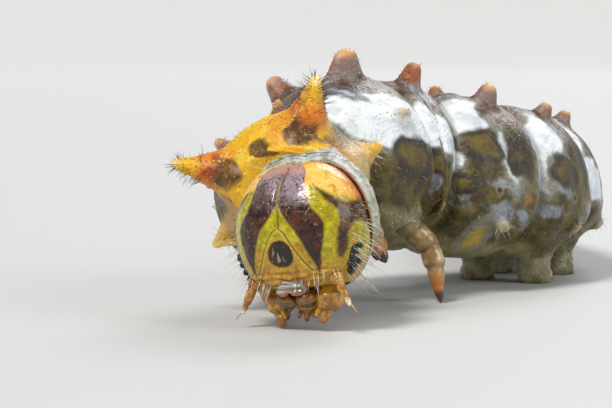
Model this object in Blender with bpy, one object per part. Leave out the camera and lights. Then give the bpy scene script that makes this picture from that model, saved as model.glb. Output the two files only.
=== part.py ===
"""A young swallowtail larva, the kind that looks like a bird dropping, as a still model of life size.

It faces -Y and stands on its prolegs at z = 0. The front of the body bends towards the viewer and
leans to the larva's right, while the head stays upright. Every size here is in millimetres, and
finish() turns the meshes to metres.
"""

import math

import bmesh
import bpy
from mathutils import Matrix, Vector

MM = 0.001

# Sizes of the whole larva
GAP = 0.15
FINE_GAP = 0.06
PLAN_CENTRE = Vector((2.37, 9.73, 0.0))

# The line of the body from the neck to the tail: for each length, its middle (x, y, z), its radius,
# how far its back leans to the right, and how far its rings turn to face right of the line
BODY = {
    "neck": (0.02, 0.65, 1.98, 1.34, 28, 22),
    "thorax_1": (-0.22, 1.95, 2.65, 1.52, 31, 20),
    "thorax_2": (-0.36, 3.50, 2.47, 1.54, 30, 8),
    "thorax_3": (0.80, 5.10, 2.99, 1.87, 18, 0),
    "abdomen_1": (1.70, 6.65, 2.76, 1.98, 8, 0),
    "abdomen_2": (3.45, 7.65, 2.45, 1.96, 2, 0),
    "abdomen_3": (4.80, 9.10, 2.22, 1.88, 0, 0),
    "abdomen_4": (5.45, 10.90, 2.08, 1.80, 0, 0),
    "abdomen_5": (5.65, 12.80, 1.98, 1.71, 0, 0),
    "abdomen_6": (5.60, 14.65, 1.90, 1.62, 0, 0),
    "abdomen_7": (5.40, 16.35, 1.82, 1.52, 0, 0),
    "abdomen_8": (5.15, 17.80, 1.72, 1.38, 0, 0),
    "abdomen_9": (4.90, 19.00, 1.58, 1.14, 0, 0),
    "abdomen_10": (4.70, 19.90, 1.42, 0.86, 0, 0),
}
NAMES = list(BODY)
BODY_SIDES = 24
GROOVE_DEPTH = 0.10
GROOVE_WIDTH = 0.26
STATIONS = (-0.40, -0.24, 0.0, 0.24, 0.40)
TAIL_STATIONS = (-0.40, -0.10, 0.20, 0.45, 0.62, 0.74)

# Shape of a cut across the body
FOLD_ANGLE = 108
FOLD_HEIGHT = 0.05
FOLD_WIDTH = 15
BELLY_FLAT = 0.10
SHOULDER_ANGLE = 46
SHOULDER_HEIGHT = 0.13
SHOULDER_WIDTH = 15

# Fleshy tubercles in mirrored pairs: place along the segment, angle from the back, length, base radius, tip radius
HORN = (-0.12, 45, 0.84, 0.40, 0.12)
TUBERCLES = {
    "thorax_1": [HORN, (0.12, 96, 0.42, 0.28, 0.09)],
    "thorax_2": [(0.0, 27, 0.40, 0.26, 0.09), (0.0, 72, 0.26, 0.22, 0.08)],
    "thorax_3": [(0.0, 25, 0.66, 0.36, 0.17), (0.0, 74, 0.30, 0.26, 0.10)],
    "abdomen_1": [(0.0, 25, 0.58, 0.34, 0.17), (0.0, 118, 0.24, 0.24, 0.12)],
    "abdomen_2": [(0.0, 25, 0.48, 0.32, 0.16), (0.0, 118, 0.24, 0.24, 0.12)],
    "abdomen_3": [(0.0, 26, 0.34, 0.27, 0.13), (0.0, 116, 0.18, 0.22, 0.11)],
    "abdomen_4": [(0.0, 27, 0.32, 0.26, 0.12), (0.0, 116, 0.18, 0.22, 0.11)],
    "abdomen_5": [(0.0, 27, 0.34, 0.26, 0.12), (0.0, 116, 0.18, 0.22, 0.11)],
    "abdomen_6": [(0.0, 28, 0.38, 0.27, 0.12), (0.0, 116, 0.18, 0.22, 0.11)],
    "abdomen_7": [(0.0, 29, 0.44, 0.28, 0.13), (0.0, 114, 0.20, 0.22, 0.11)],
    "abdomen_8": [(0.0, 31, 0.56, 0.31, 0.14), (0.0, 112, 0.22, 0.22, 0.10)],
    "abdomen_9": [(0.0, 36, 0.62, 0.30, 0.13), (0.0, 100, 0.26, 0.20, 0.10)],
    "abdomen_10": [(0.05, 72, 0.24, 0.20, 0.08)],
}
TUBERCLE_SIDES = 9
TUBERCLE_SINK = 0.32
HORN_LEAN = 0.30

# The head: two swollen lobes that meet in a cleft, seen from its own middle
HEAD_CENTRE = Vector((0.0, 0.0, 1.90))
HEAD_YAW = math.radians(30)
HEAD_ROLL = math.radians(-7)
LOBE_OFFSET = 0.28
LOBE_HALF_WIDTH = 1.10
HEAD_HALF_HEIGHT = 1.37
MOUTH_LEVEL = -1.06
HEAD_FRONT = 1.02
HEAD_BACK = 1.00
HEAD_SIDES = 26
HEAD_RINGS = 13
HEAD_GAP = 0.10

# The face plate between the lobes, widening down to the mouth
FRONS_TOP = 0.20
FRONS_BOTTOM = -1.00
FRONS_HALF_WIDTH = 0.56
FRONS_STEPS = 5
FRONS_RISE = 0.06

# The patch of small eyes on each side: place on the face, half size, and lenses as forward and up
EYE_PLACE = (1.23, -0.60)
EYE_HALF_SIZE = (0.20, 0.33)
EYE_THICKNESS = 0.14
LENS_RADIUS = 0.075
LENS_RISE = 0.075
LENSES = ((0.09, 0.23), (0.11, 0.07), (0.07, -0.09), (0.0, -0.22), (-0.11, -0.26), (-0.10, 0.06))

# Feelers and mouthparts: across, up and forward from the middle of the head
ANTENNA_PLACE = (0.90, -0.86)
ANTENNA_WAY = (0.45, -0.86, 0.15)
ANTENNA_RADII = (0.15, 0.14, 0.11, 0.06)
ANTENNA_LENGTH = 0.78
LABRUM = ((0.20, -1.07, 0.68), (0.24, 0.16, 0.17))
MANDIBLE = ((0.22, -1.35, 0.48), (0.20, 0.13, 0.20))
MAXILLA = ((0.56, -1.38, 0.20), (0.26, 0.28, 0.28))
MAXILLA_PALP = ((0.55, -1.45, 0.25), (0.44, -1.79, 0.38))
LABIUM = ((0.0, -1.38, 0.02), (0.30, 0.28, 0.26))
SPINNERET = ((0.0, -1.46, 0.04), (0.0, -1.74, 0.20))

# The soft collar behind the head
COLLAR_RIM = Vector((0.22, 0.39, 1.95))
COLLAR_RADIUS = 1.48
COLLAR_STEPS = 4

# Legs of the thorax: knee and foot, then the radius down the leg
LEG_HIP_ANGLE = 142
LEG_RADII = (0.32, 0.30, 0.25, 0.24, 0.18, 0.14, 0.10)
LEGS = {
    "leg_1_left": ((1.42, 1.85, 1.78), (1.52, 1.60, 1.18)),
    "leg_1_right": ((-0.55, 1.75, 0.75), (-0.30, 1.25, 0.0)),
    "leg_2_left": ((1.48, 3.30, 1.50), (1.75, 3.00, 1.00)),
    "leg_2_right": ((-0.88, 3.35, 0.72), (-0.62, 2.85, 0.0)),
    "leg_3_left": ((2.80, 4.55, 1.15), (2.98, 4.30, 0.0)),
    "leg_3_right": ((-0.05, 5.30, 0.85), (0.0, 4.75, 0.0)),
}

# Fleshy prolegs: spread from the middle line, then radii from the body to the sole
PROLEG_SPREAD = 0.78
PROLEG_RADII = (0.50, 0.47, 0.38, 0.43, 0.40)
ANAL_SPREAD = 0.46
ANAL_RADII = (0.40, 0.38, 0.31, 0.34, 0.31)

SKIN_COLOURS = {
    "thorax": (0.80, 0.50, 0.06),
    "abdomen": (0.42, 0.36, 0.22),
}


# Helpers for meshes and Booleans

def material(name, colour, roughness):
    """One plain Principled material for each kind of surface."""
    found = bpy.data.materials.get(name)
    if found:
        return found
    made = bpy.data.materials.new(name)
    made.use_nodes = True
    shader = made.node_tree.nodes["Principled BSDF"]
    shader.inputs["Base Color"].default_value = (*colour, 1)
    shader.inputs["Roughness"].default_value = roughness
    shader.inputs["Metallic"].default_value = 0
    return made


def mesh_object(name, bm):
    """Turns a bmesh into an object of triangles whose faces point outwards."""
    bmesh.ops.triangulate(bm, faces=bm.faces)
    bmesh.ops.recalc_face_normals(bm, faces=bm.faces)
    mesh = bpy.data.meshes.new(name)
    bm.to_mesh(mesh)
    bm.free()
    made = bpy.data.objects.new(name, mesh)
    bpy.context.scene.collection.objects.link(made)
    return made


def loft(name, rings):
    """A closed body through rings of points, with a face across each end."""
    bm = bmesh.new()
    loops = [[bm.verts.new(point) for point in ring] for ring in rings]
    count = len(rings[0])
    for near, far in zip(loops, loops[1:]):
        for i in range(count):
            j = (i + 1) % count
            bm.faces.new((near[i], near[j], far[j], far[i]))
    for loop in (loops[0], loops[-1]):
        middle = bm.verts.new(sum((v.co for v in loop), Vector()) / count)
        for i in range(count):
            bm.faces.new((loop[i], loop[(i + 1) % count], middle))
    return mesh_object(name, bm)


def ring(centre, across, up, radius, sides, phase=0.0):
    """Points round a circle or an ellipse, where radius is one number or a pair."""
    wide, tall = radius if isinstance(radius, tuple) else (radius, radius)
    turns = [phase + 2 * math.pi * i / sides for i in range(sides)]
    return [centre + across * wide * math.sin(a) + up * tall * math.cos(a) for a in turns]


def square_frame(axis):
    """Two unit vectors at right angles to axis and to each other."""
    axis = axis.normalized()
    side = axis.cross(Vector((0, 0, 1)))
    if side.length < 0.001:
        side = axis.cross(Vector((0, 1, 0)))
    side.normalize()
    return side, side.cross(axis)


def tube(name, points, radii, sides):
    """A tapered limb through points, each with its own radius. One that ends at z = 0 gets a level sole."""
    rings = []
    last = len(points) - 1
    for i, point in enumerate(points):
        way = (points[min(i + 1, last)] - points[max(i - 1, 0)]).normalized()
        if i == last and point.z == 0:
            way = Vector((way.x * 0.01, way.y * 0.01, -1))
        across, up = square_frame(way)
        rings.append(ring(point, across, up, radii[i], sides))
    if points[last].z == 0:
        rings[last] = [Vector((p.x, p.y, 0)) for p in rings[last]]
    return loft(name, rings)


def ellipsoid(name, centre, axes, sides=14, rings=8):
    """A ball stretched along three axes, given as vectors with their own lengths."""
    across, up, along = axes
    made = []
    for k in range(rings + 1):
        lift = -math.pi / 2 + math.pi * (0.04 + 0.92 * k / rings)
        level = centre + up * math.sin(lift)
        made.append(ring(level, across * math.cos(lift), along * math.cos(lift), 1, sides))
    return loft(name, made)


def apply_boolean(target, others, operation, solver="EXACT"):
    """Joins or cuts target with closed objects, which are then removed."""
    group = bpy.data.collections.new("operands")
    bpy.context.scene.collection.children.link(group)
    for other in others:
        group.objects.link(other)
        bpy.context.scene.collection.objects.unlink(other)
    modifier = target.modifiers.new("join", "BOOLEAN")
    modifier.operation = operation
    modifier.solver = solver
    modifier.operand_type = "COLLECTION"
    modifier.collection = group
    graph = bpy.context.evaluated_depsgraph_get()
    result = bpy.data.meshes.new_from_object(target.evaluated_get(graph))
    target.modifiers.clear()
    target.data = result
    for other in others:
        bpy.data.objects.remove(other)
    bpy.data.collections.remove(group)
    keep_largest(target)
    return target


def keep_largest(target):
    """Drops all but the largest closed surface of an object's mesh."""
    bm = bmesh.new()
    bm.from_mesh(target.data)
    bmesh.ops.remove_doubles(bm, verts=bm.verts, dist=0.002)
    bmesh.ops.triangulate(bm, faces=bm.faces)
    unseen = set(bm.faces)
    groups = []
    while unseen:
        stack = [unseen.pop()]
        group = list(stack)
        while stack:
            for edge in stack.pop().edges:
                for face in edge.link_faces:
                    if face in unseen:
                        unseen.remove(face)
                        stack.append(face)
                        group.append(face)
        groups.append(group)
    groups.sort(key=lambda group: sum(face.calc_area() for face in group))
    loose = [face for group in groups[:-1] for face in group]
    bmesh.ops.delete(bm, geom=loose, context="FACES")
    bm.to_mesh(target.data)
    bm.free()


def finish(target, finish_material):
    """Sets the finish, moves the node to the part's own frame and turns it to metres."""
    target.data.materials.clear()
    target.data.materials.append(finish_material)
    target.data.transform(Matrix.Scale(MM, 4) @ Matrix.Translation(-PLAN_CENTRE))
    target.data.shade_smooth()
    target.data.set_sharp_from_angle(angle=math.radians(35))


# The line of the body

def along(s, column):
    """One column of BODY at place s, counted in segments, on a smooth curve through the rows."""
    rows = [row[column] for row in BODY.values()]
    last = len(rows) - 1
    i = min(max(int(math.floor(s)), 0), last - 1)
    t = s - i
    b, c = rows[i], rows[i + 1]
    a = rows[i - 1] if i > 0 else 2 * b - c
    d = rows[i + 2] if i + 2 <= last else 2 * c - b
    if t < 0 or t > 1:
        slope = (c - a) / 2 if t < 0 else (d - b) / 2
        return b + slope * t if t < 0 else c + slope * (t - 1)
    bend = 2 * a - 5 * b + 4 * c - d
    return 0.5 * (2 * b + (c - a) * t + bend * t * t + (3 * b - 3 * c + d - a) * t**3)


def body_frame(s):
    """The middle of the body at s, with unit vectors to its rear, its back and its left."""
    middle = Vector([along(s, k) for k in range(3)])
    step = 0.4
    rear = Vector([along(s + step, k) - along(s - step, k) for k in range(3)]).normalized()
    rear = Matrix.Rotation(math.radians(-along(s, 5)), 3, "Z") @ rear
    up = Vector((0, 0, 1))
    up = (up - rear * up.dot(rear)).normalized()
    left = rear.cross(up)
    lean = math.radians(along(s, 4))
    back = up * math.cos(lean) - left * math.sin(lean)
    return middle, rear, back, left * math.cos(lean) + up * math.sin(lean)


def bump(x, width):
    """A smooth rise of 1 at x = 0."""
    return math.exp(-((x / width) ** 2))


def section(s, degrees):
    """How far the skin stands from the middle at this angle, as a share of the radius."""
    turn = abs((degrees + 180) % 360 - 180)
    share = 1 + FOLD_HEIGHT * bump(turn - FOLD_ANGLE, FOLD_WIDTH)
    share -= BELLY_FLAT * bump(turn - 180, 45)
    front = bump(s - 0.9, 0.42)
    share += front * SHOULDER_HEIGHT * bump(turn - SHOULDER_ANGLE, SHOULDER_WIDTH)
    share += front * 0.07 * bump(turn - 96, 14)
    share -= front * 0.05 * bump(turn, 24)
    return share


def radius(s):
    """The body's radius at s, drawn in at the groove between two segments."""
    to_joint = abs(s - math.floor(s) - 0.5)
    if s > len(NAMES) - 0.7:
        to_joint = 0.5
    return along(s, 3) * (1 - GROOVE_DEPTH * bump(to_joint, GROOVE_WIDTH / 2))


def skin_point(s, degrees, extra=0.0):
    """A point on the skin, or extra millimetres outside it."""
    middle, _, back, left = body_frame(s)
    turn = math.radians(degrees)
    way = back * math.cos(turn) + left * math.sin(turn)
    return middle + way * (radius(s) * section(s, degrees) + extra)


def skin_ring(s, extra=0.0, shift=0.0, shrink=1.0):
    """A ring of skin points at s, moved shift millimetres to the rear."""
    middle, rear, _, _ = body_frame(s)
    points = [skin_point(s, 360 * i / BODY_SIDES, extra) for i in range(BODY_SIDES)]
    return [middle + (point - middle) * shrink + rear * shift for point in points]


def trunk_cutter(first, last):
    """The outside of the body between two places, grown by the gap."""
    steps = max(int((last - first) / 0.2), 2)
    places = [first + (last - first) * i / steps for i in range(steps + 1)]
    return loft("cutter", [skin_ring(s, GAP) for s in places])


def tubercle(s, degrees, length, base, tip, lean):
    """One fleshy tubercle with a flared foot sunk into the skin."""
    middle, rear, back, left = body_frame(s)
    turn = math.radians(degrees)
    way = back * math.cos(turn) + left * math.sin(turn)
    foot = skin_point(s, degrees)
    axis = (way - rear * lean).normalized()
    across, up = square_frame(axis)
    profile = (
        (-TUBERCLE_SINK, base * 0.9),
        (0.02, base),
        (length * 0.3, base * 0.55 + tip * 0.45),
        (length * 0.85, tip),
        (length, tip * 0.45),
    )
    rings = [ring(foot + axis * high, across, up, r, TUBERCLE_SIDES) for high, r in profile]
    return loft("tubercle", rings)


def body_segment(name):
    """One length of the body with its tubercles grown from it."""
    s = NAMES.index(name)
    tail = name == NAMES[-1]
    rings = [skin_ring(s - 0.5, shift=GAP / 2)]
    for place in TAIL_STATIONS if tail else STATIONS:
        rings.append(skin_ring(s + place, shrink=tail_shrink(place) if tail else 1.0))
    rings.append(skin_ring(s + 0.80, shrink=0.12) if tail else skin_ring(s + 0.5, shift=-GAP / 2))
    trunk = loft(name, rings)
    grown = []
    for place, degrees, length, base, tip in TUBERCLES[name]:
        lean = HORN_LEAN if (place, degrees) == HORN[:2] else 0.0
        for side in (1, -1):
            grown.append(tubercle(s + place, side * degrees, length, base, tip, lean))
    return apply_boolean(trunk, grown, "UNION")


def tail_shrink(place):
    """The rounding of the last segment towards its end."""
    return math.sqrt(max(1 - (max(place, 0.0) / 0.82) ** 2, 0.0))


# The head

def head_axes():
    """Unit vectors to the head's left, top and front."""
    front = Vector((-math.sin(HEAD_YAW), -math.cos(HEAD_YAW), 0))
    left = Vector((0, 0, 1)).cross(front)
    turn = Matrix.Rotation(-HEAD_ROLL, 3, front)
    return turn @ left, turn @ Vector((0, 0, 1)), front


def head_place(across, high, ahead):
    """A point given in the head's own frame."""
    left, top, front = head_axes()
    return HEAD_CENTRE + left * across + top * high + front * ahead


def face_depth(across, high):
    """How far the front of the nearer lobe stands forward at this place on the face."""
    side = (abs(across) - LOBE_OFFSET) / LOBE_HALF_WIDTH
    tall = high / HEAD_HALF_HEIGHT
    return HEAD_FRONT * math.sqrt(max(1 - side * side - tall * tall, 0.0))


def lobe(side, extra=0.0):
    """One of the head's two lobes, cut off level at the mouth, or that lobe grown by extra."""
    tall = HEAD_HALF_HEIGHT + extra
    low = math.asin((MOUTH_LEVEL - extra) / tall)
    high = math.radians(82)
    rings = []
    for k in range(HEAD_RINGS + 1):
        lift = low + (high - low) * k / HEAD_RINGS
        points = []
        for i in range(HEAD_SIDES):
            turn = 2 * math.pi * i / HEAD_SIDES
            ahead = math.cos(turn) * math.cos(lift)
            deep = (HEAD_FRONT if ahead > 0 else HEAD_BACK) + extra
            across = side * LOBE_OFFSET + (LOBE_HALF_WIDTH + extra) * math.sin(turn) * math.cos(lift)
            points.append(head_place(across, tall * math.sin(lift), deep * ahead))
        rings.append(points)
    return loft("lobe", rings)


def head_solid(name, extra=0.0):
    """The bare head capsule."""
    made = lobe(1, extra)
    made.name = name
    return apply_boolean(made, [lobe(-1, extra)], "UNION")


def frons():
    """The raised triangle in the middle of the face, above the mouth."""
    rings = []
    for k in range(FRONS_STEPS + 1):
        share = k / FRONS_STEPS
        high = FRONS_TOP + (FRONS_BOTTOM - FRONS_TOP) * share
        half = 0.05 + (FRONS_HALF_WIDTH - 0.05) * share
        outer = [-half, -half / 3, half / 3, half]
        front = [head_place(x, high, face_depth(half, high) + FRONS_RISE) for x in outer]
        rings.append(front + [head_place(x, high, 0.2) for x in reversed(outer)])
    return loft("frons", rings)


def head():
    """The head capsule with its face plate."""
    made = head_solid("head")
    return apply_boolean(made, [frons()], "UNION")


def cut_by_head(made):
    """Trims a piece back from the head by the fine gap."""
    return apply_boolean(made, [head_solid("cutter", FINE_GAP)], "DIFFERENCE")


def eye(name, side):
    """The patch of small simple eyes low on the side of the head."""
    across, high = EYE_PLACE
    left, top, front = head_axes()
    ahead = face_depth(across, high)
    centre = head_place(side * across, high, ahead)
    slopes = ((across - LOBE_OFFSET) / LOBE_HALF_WIDTH**2, high / HEAD_HALF_HEIGHT**2, ahead / HEAD_FRONT**2)
    outward = (left * side * slopes[0] + top * slopes[1] + front * slopes[2]).normalized()
    forward = (front - outward * front.dot(outward)).normalized()
    upward = outward.cross(forward) * side
    wide, tall = EYE_HALF_SIZE
    patch = ellipsoid(name, centre, (forward * wide, upward * tall, outward * EYE_THICKNESS), 14, 6)
    grown = []
    for x, y in LENSES:
        middle = centre + forward * x + upward * y + outward * LENS_RISE
        sizes = (forward * LENS_RADIUS, upward * LENS_RADIUS, outward * LENS_RADIUS)
        grown.append(ellipsoid("lens", middle, sizes, 8, 4))
    apply_boolean(patch, grown, "UNION")
    return cut_by_head(patch)


def antenna(name, side):
    """A short jointed feeler beside the mouth."""
    across, high = ANTENNA_PLACE
    left, top, front = head_axes()
    out, rise, ahead = ANTENNA_WAY
    start = head_place(side * across, high, face_depth(across, high) - 0.12)
    way = (left * side * out + top * rise + front * ahead).normalized() * ANTENNA_LENGTH
    points = [start + way * share for share in (0.0, 0.4, 0.75, 1.0)]
    return cut_by_head(tube(name, points, ANTENNA_RADII, 8))


def mouth_ball(name, side, piece, tilt=0.0):
    """A rounded mouth piece, from its place and half sizes in the head's own frame."""
    left, top, front = head_axes()
    (across, high, ahead), sizes = piece
    turn = Matrix.Rotation(tilt * side, 3, front)
    axes = [turn @ axis * size for axis, size in zip((left, top, front), sizes)]
    return ellipsoid(name, head_place(side * across, high, ahead), axes, 12, 7)


def mouth_finger(side, ends, radii):
    """A small feeler of the mouthparts between two places in the head's own frame."""
    root, tip = [head_place(side * across, high, ahead) for across, high, ahead in ends]
    last = len(radii) - 1
    return tube("finger", [root.lerp(tip, i / last) for i in range(last + 1)], radii, 8)


def labrum():
    """The notched upper lip."""
    made = mouth_ball("labrum", 1, LABRUM)
    apply_boolean(made, [mouth_ball("half", -1, LABRUM)], "UNION")
    return cut_by_head(made)


def mandible(name, side):
    """One jaw, below and behind the upper lip."""
    return cut_by_head(mouth_ball(name, side, MANDIBLE, tilt=0.15))


def maxilla(name, side):
    """One lower jaw lobe with its feeler."""
    made = mouth_ball(name, side, MAXILLA)
    apply_boolean(made, [mouth_finger(side, MAXILLA_PALP, (0.15, 0.13, 0.09, 0.05))], "UNION")
    return cut_by_head(made)


def labium():
    """The lower lip with its spinneret."""
    made = mouth_ball("labium", 1, LABIUM)
    apply_boolean(made, [mouth_finger(1, SPINNERET, (0.14, 0.10, 0.05))], "UNION")
    return cut_by_head(made)


def neck():
    """The soft collar that the back of the head sits in."""
    front = head_axes()[2]
    back_ring = skin_ring(0.5, shift=-GAP / 2)
    rim = []
    _, _, body_back, body_left = body_frame(0.5)
    for i in range(BODY_SIDES):
        turn = 2 * math.pi * i / BODY_SIDES
        way = body_back * math.cos(turn) + body_left * math.sin(turn)
        way = (way - front * way.dot(front)).normalized()
        rim.append(COLLAR_RIM + way * COLLAR_RADIUS)
    rings = []
    for k in range(COLLAR_STEPS + 1):
        share = k / COLLAR_STEPS
        swell = 1 + 0.05 * math.sin(math.pi * share)
        middle = sum(back_ring, Vector()).lerp(sum(rim, Vector()), share) / BODY_SIDES
        points = [a.lerp(b, share) for a, b in zip(back_ring, rim)]
        rings.append([middle + (p - middle) * swell for p in points])
    made = loft("neck", rings)
    return apply_boolean(made, [head_solid("cutter", HEAD_GAP)], "DIFFERENCE")


# Legs

def leg(name, row, side, knee, foot):
    """One jointed leg of the thorax, from the belly to its claw."""
    s = NAMES.index("thorax_%d" % row)
    hip = skin_point(s - 0.05, side * LEG_HIP_ANGLE, -0.30)
    knee = Vector(knee)
    foot = Vector(foot)
    points = [
        hip,
        hip.lerp(knee, 0.5),
        hip.lerp(knee, 0.95),
        knee.lerp(foot, 0.25),
        knee.lerp(foot, 0.55),
        knee.lerp(foot, 0.80),
        foot,
    ]
    made = tube(name, points, LEG_RADII, 9)
    return apply_boolean(made, [trunk_cutter(max(s - 0.6, 0.5), s + 0.6)], "DIFFERENCE", "MANIFOLD")


def proleg(name, s, spread, side, radii, toe):
    """One fleshy proleg with a flat sole on the ground."""
    middle, rear, _, _ = body_frame(s)
    level = Vector((rear.x, rear.y, 0)).normalized()
    left = level.cross(Vector((0, 0, 1)))
    foot = Vector((middle.x, middle.y, 0)) + left * side * spread - level * toe
    top = Vector((middle.x, middle.y, middle.z - radius(s) * 0.45)) + left * side * spread * 0.75
    levels = (1.0, 0.55, 0.28, 0.10, 0.0)
    rings = []
    for share, r in zip(levels, radii):
        centre = foot.lerp(top, share)
        rings.append(ring(centre, left, level, r, 12))
    made = loft(name, rings)
    return apply_boolean(made, [trunk_cutter(s - 1.2, min(s + 1.2, 13.6))], "DIFFERENCE")


def main():
    for leftover in list(bpy.data.objects):
        bpy.data.objects.remove(leftover)
    capsule = material("head_capsule", (0.55, 0.36, 0.05), 0.25)
    dark = material("eye", (0.01, 0.01, 0.012), 0.08)
    mouth = material("mouthparts", (0.60, 0.30, 0.06), 0.35)
    soft = material("collar_membrane", (0.55, 0.54, 0.45), 0.30)
    thorax = material("thorax_skin", SKIN_COLOURS["thorax"], 0.45)
    abdomen = material("abdomen_skin", SKIN_COLOURS["abdomen"], 0.45)
    legs = material("leg", (0.62, 0.45, 0.22), 0.35)
    made = [(head(), capsule), (neck(), soft), (labrum(), mouth), (labium(), mouth)]
    for word, side in (("left", 1), ("right", -1)):
        made.append((eye("eye_" + word, side), dark))
        made.append((antenna("antenna_" + word, side), mouth))
        made.append((mandible("mandible_" + word, side), mouth))
        made.append((maxilla("maxilla_" + word, side), mouth))
    for name in NAMES[1:]:
        made.append((body_segment(name), thorax if name.startswith("thorax") else abdomen))
    for name, (knee, foot) in LEGS.items():
        side = 1 if name.endswith("left") else -1
        made.append((leg(name, int(name[4]), side, knee, foot), legs))
    for word, side in (("left", 1), ("right", -1)):
        for number in (3, 4, 5, 6):
            s = NAMES.index("abdomen_%d" % number)
            name = "proleg_%d_%s" % (number, word)
            made.append((proleg(name, s, PROLEG_SPREAD, side, PROLEG_RADII, 0.0), abdomen))
        last = len(NAMES) - 1
        made.append((proleg("proleg_10_" + word, last, ANAL_SPREAD, side, ANAL_RADII, -0.1), abdomen))
    for piece, finish_material in made:
        finish(piece, finish_material)


main()
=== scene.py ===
"""The looks of a young swallowtail larva: one soft skin with horns, warts and prolegs, a glossy patterned
head with its mouthparts, jointed legs, and the hairs and bristles of each.

Lengths and places are in millimetres, in the frame that the larva was drawn in; settle() takes a finished
piece to the part's own frame, in metres. A place on the body is s, counted in segments from the neck (0) to
the last one (13), and the degrees round it from the middle of the back, positive on the left. A place on
the head is across (to its left), high and ahead, from its own middle.
"""

import math
from collections import namedtuple
from functools import partial

import bpy
import numpy as np
from mathutils import Matrix, Vector


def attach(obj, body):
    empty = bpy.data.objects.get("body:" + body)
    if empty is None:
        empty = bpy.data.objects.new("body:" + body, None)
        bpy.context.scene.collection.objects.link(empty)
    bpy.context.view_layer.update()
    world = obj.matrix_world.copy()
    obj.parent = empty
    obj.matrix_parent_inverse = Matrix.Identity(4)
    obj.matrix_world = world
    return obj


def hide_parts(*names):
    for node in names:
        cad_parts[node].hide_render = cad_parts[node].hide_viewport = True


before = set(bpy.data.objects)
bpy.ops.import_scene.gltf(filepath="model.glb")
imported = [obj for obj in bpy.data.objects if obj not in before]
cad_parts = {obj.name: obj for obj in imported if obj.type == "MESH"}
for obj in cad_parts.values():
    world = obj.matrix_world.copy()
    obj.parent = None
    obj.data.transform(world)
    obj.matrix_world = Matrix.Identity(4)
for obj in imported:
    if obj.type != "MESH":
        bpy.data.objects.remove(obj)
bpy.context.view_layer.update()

MM = 0.001
PLAN_CENTRE = np.array((2.37, 9.73, 0.0))
RANDOM = np.random.default_rng(7)

# The line of the body, segment by segment: x, y, z, radius, the back's lean to the right, the rings' turn
BODY = np.array((
    (0.02, 0.65, 1.98, 1.34, 28, 22),
    (-0.22, 1.95, 2.65, 1.52, 31, 20),
    (-0.36, 3.50, 2.47, 1.54, 30, 8),
    (0.80, 5.10, 2.99, 1.87, 18, 0),
    (1.70, 6.65, 2.76, 1.98, 8, 0),
    (3.45, 7.65, 2.45, 1.96, 2, 0),
    (4.80, 9.10, 2.22, 1.88, 0, 0),
    (5.45, 10.90, 2.08, 1.80, 0, 0),
    (5.65, 12.80, 1.98, 1.71, 0, 0),
    (5.60, 14.65, 1.90, 1.62, 0, 0),
    (5.40, 16.35, 1.82, 1.52, 0, 0),
    (5.15, 17.80, 1.72, 1.38, 0, 0),
    (4.90, 19.00, 1.58, 1.14, 0, 0),
    (4.70, 19.90, 1.42, 0.86, 0, 0),
))
LAST = len(BODY) - 1

# Grooves between the segments, each with a crease at its bottom, the tail's length in s, and the s where
# the collar ends and the first segment begins
GROOVE_DEPTH = 0.10
GROOVE_WIDTH = 0.13
CREASE_DEPTH = 0.035
CREASE_WIDTH = 0.03
TAIL_LENGTH = 0.82
NECK_S = 0.55

# Shape of a cut across the body. The swellings and hollows, also those at the legs' roots, are shares of
# its radius: amount, s, half length, degrees, half width. The ridges over the back of the front segments
# have height, s, half width, and degrees where they end and over which they fade.
FOLD_ANGLE, FOLD_WIDTH, FOLD_HEIGHT = 108, 15, 0.05
BELLY_FLAT = 0.10
SWELLINGS = [(0.13, 0.90, 0.42, 46, 15), (0.07, 0.90, 0.42, 96, 14), (-0.05, 0.90, 0.42, 0, 24)]
SWELLINGS += [(0.06, number - 0.02, 0.20, 141, 12) for number in (1, 2, 3)]
BACK_RIDGES = ((0.035, 0.92, 0.07, 58, 14), (0.020, 2.00, 0.09, 60, 20))
FINE_RINGS = 5
FINE_RING_DEPTH = 0.007

# Ridges and grooves over the first segment: s, height, half width, and how far they wander
SHOULDER_RIDGES = (
    (0.92, 0.045, 0.045, 0.02), (0.79, -0.060, 0.040, 0.02), (0.67, 0.025, 0.030, 0.0),
    (1.12, -0.030, 0.035, 0.0), (1.22, 0.030, 0.050, 0.0),
)

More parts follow.
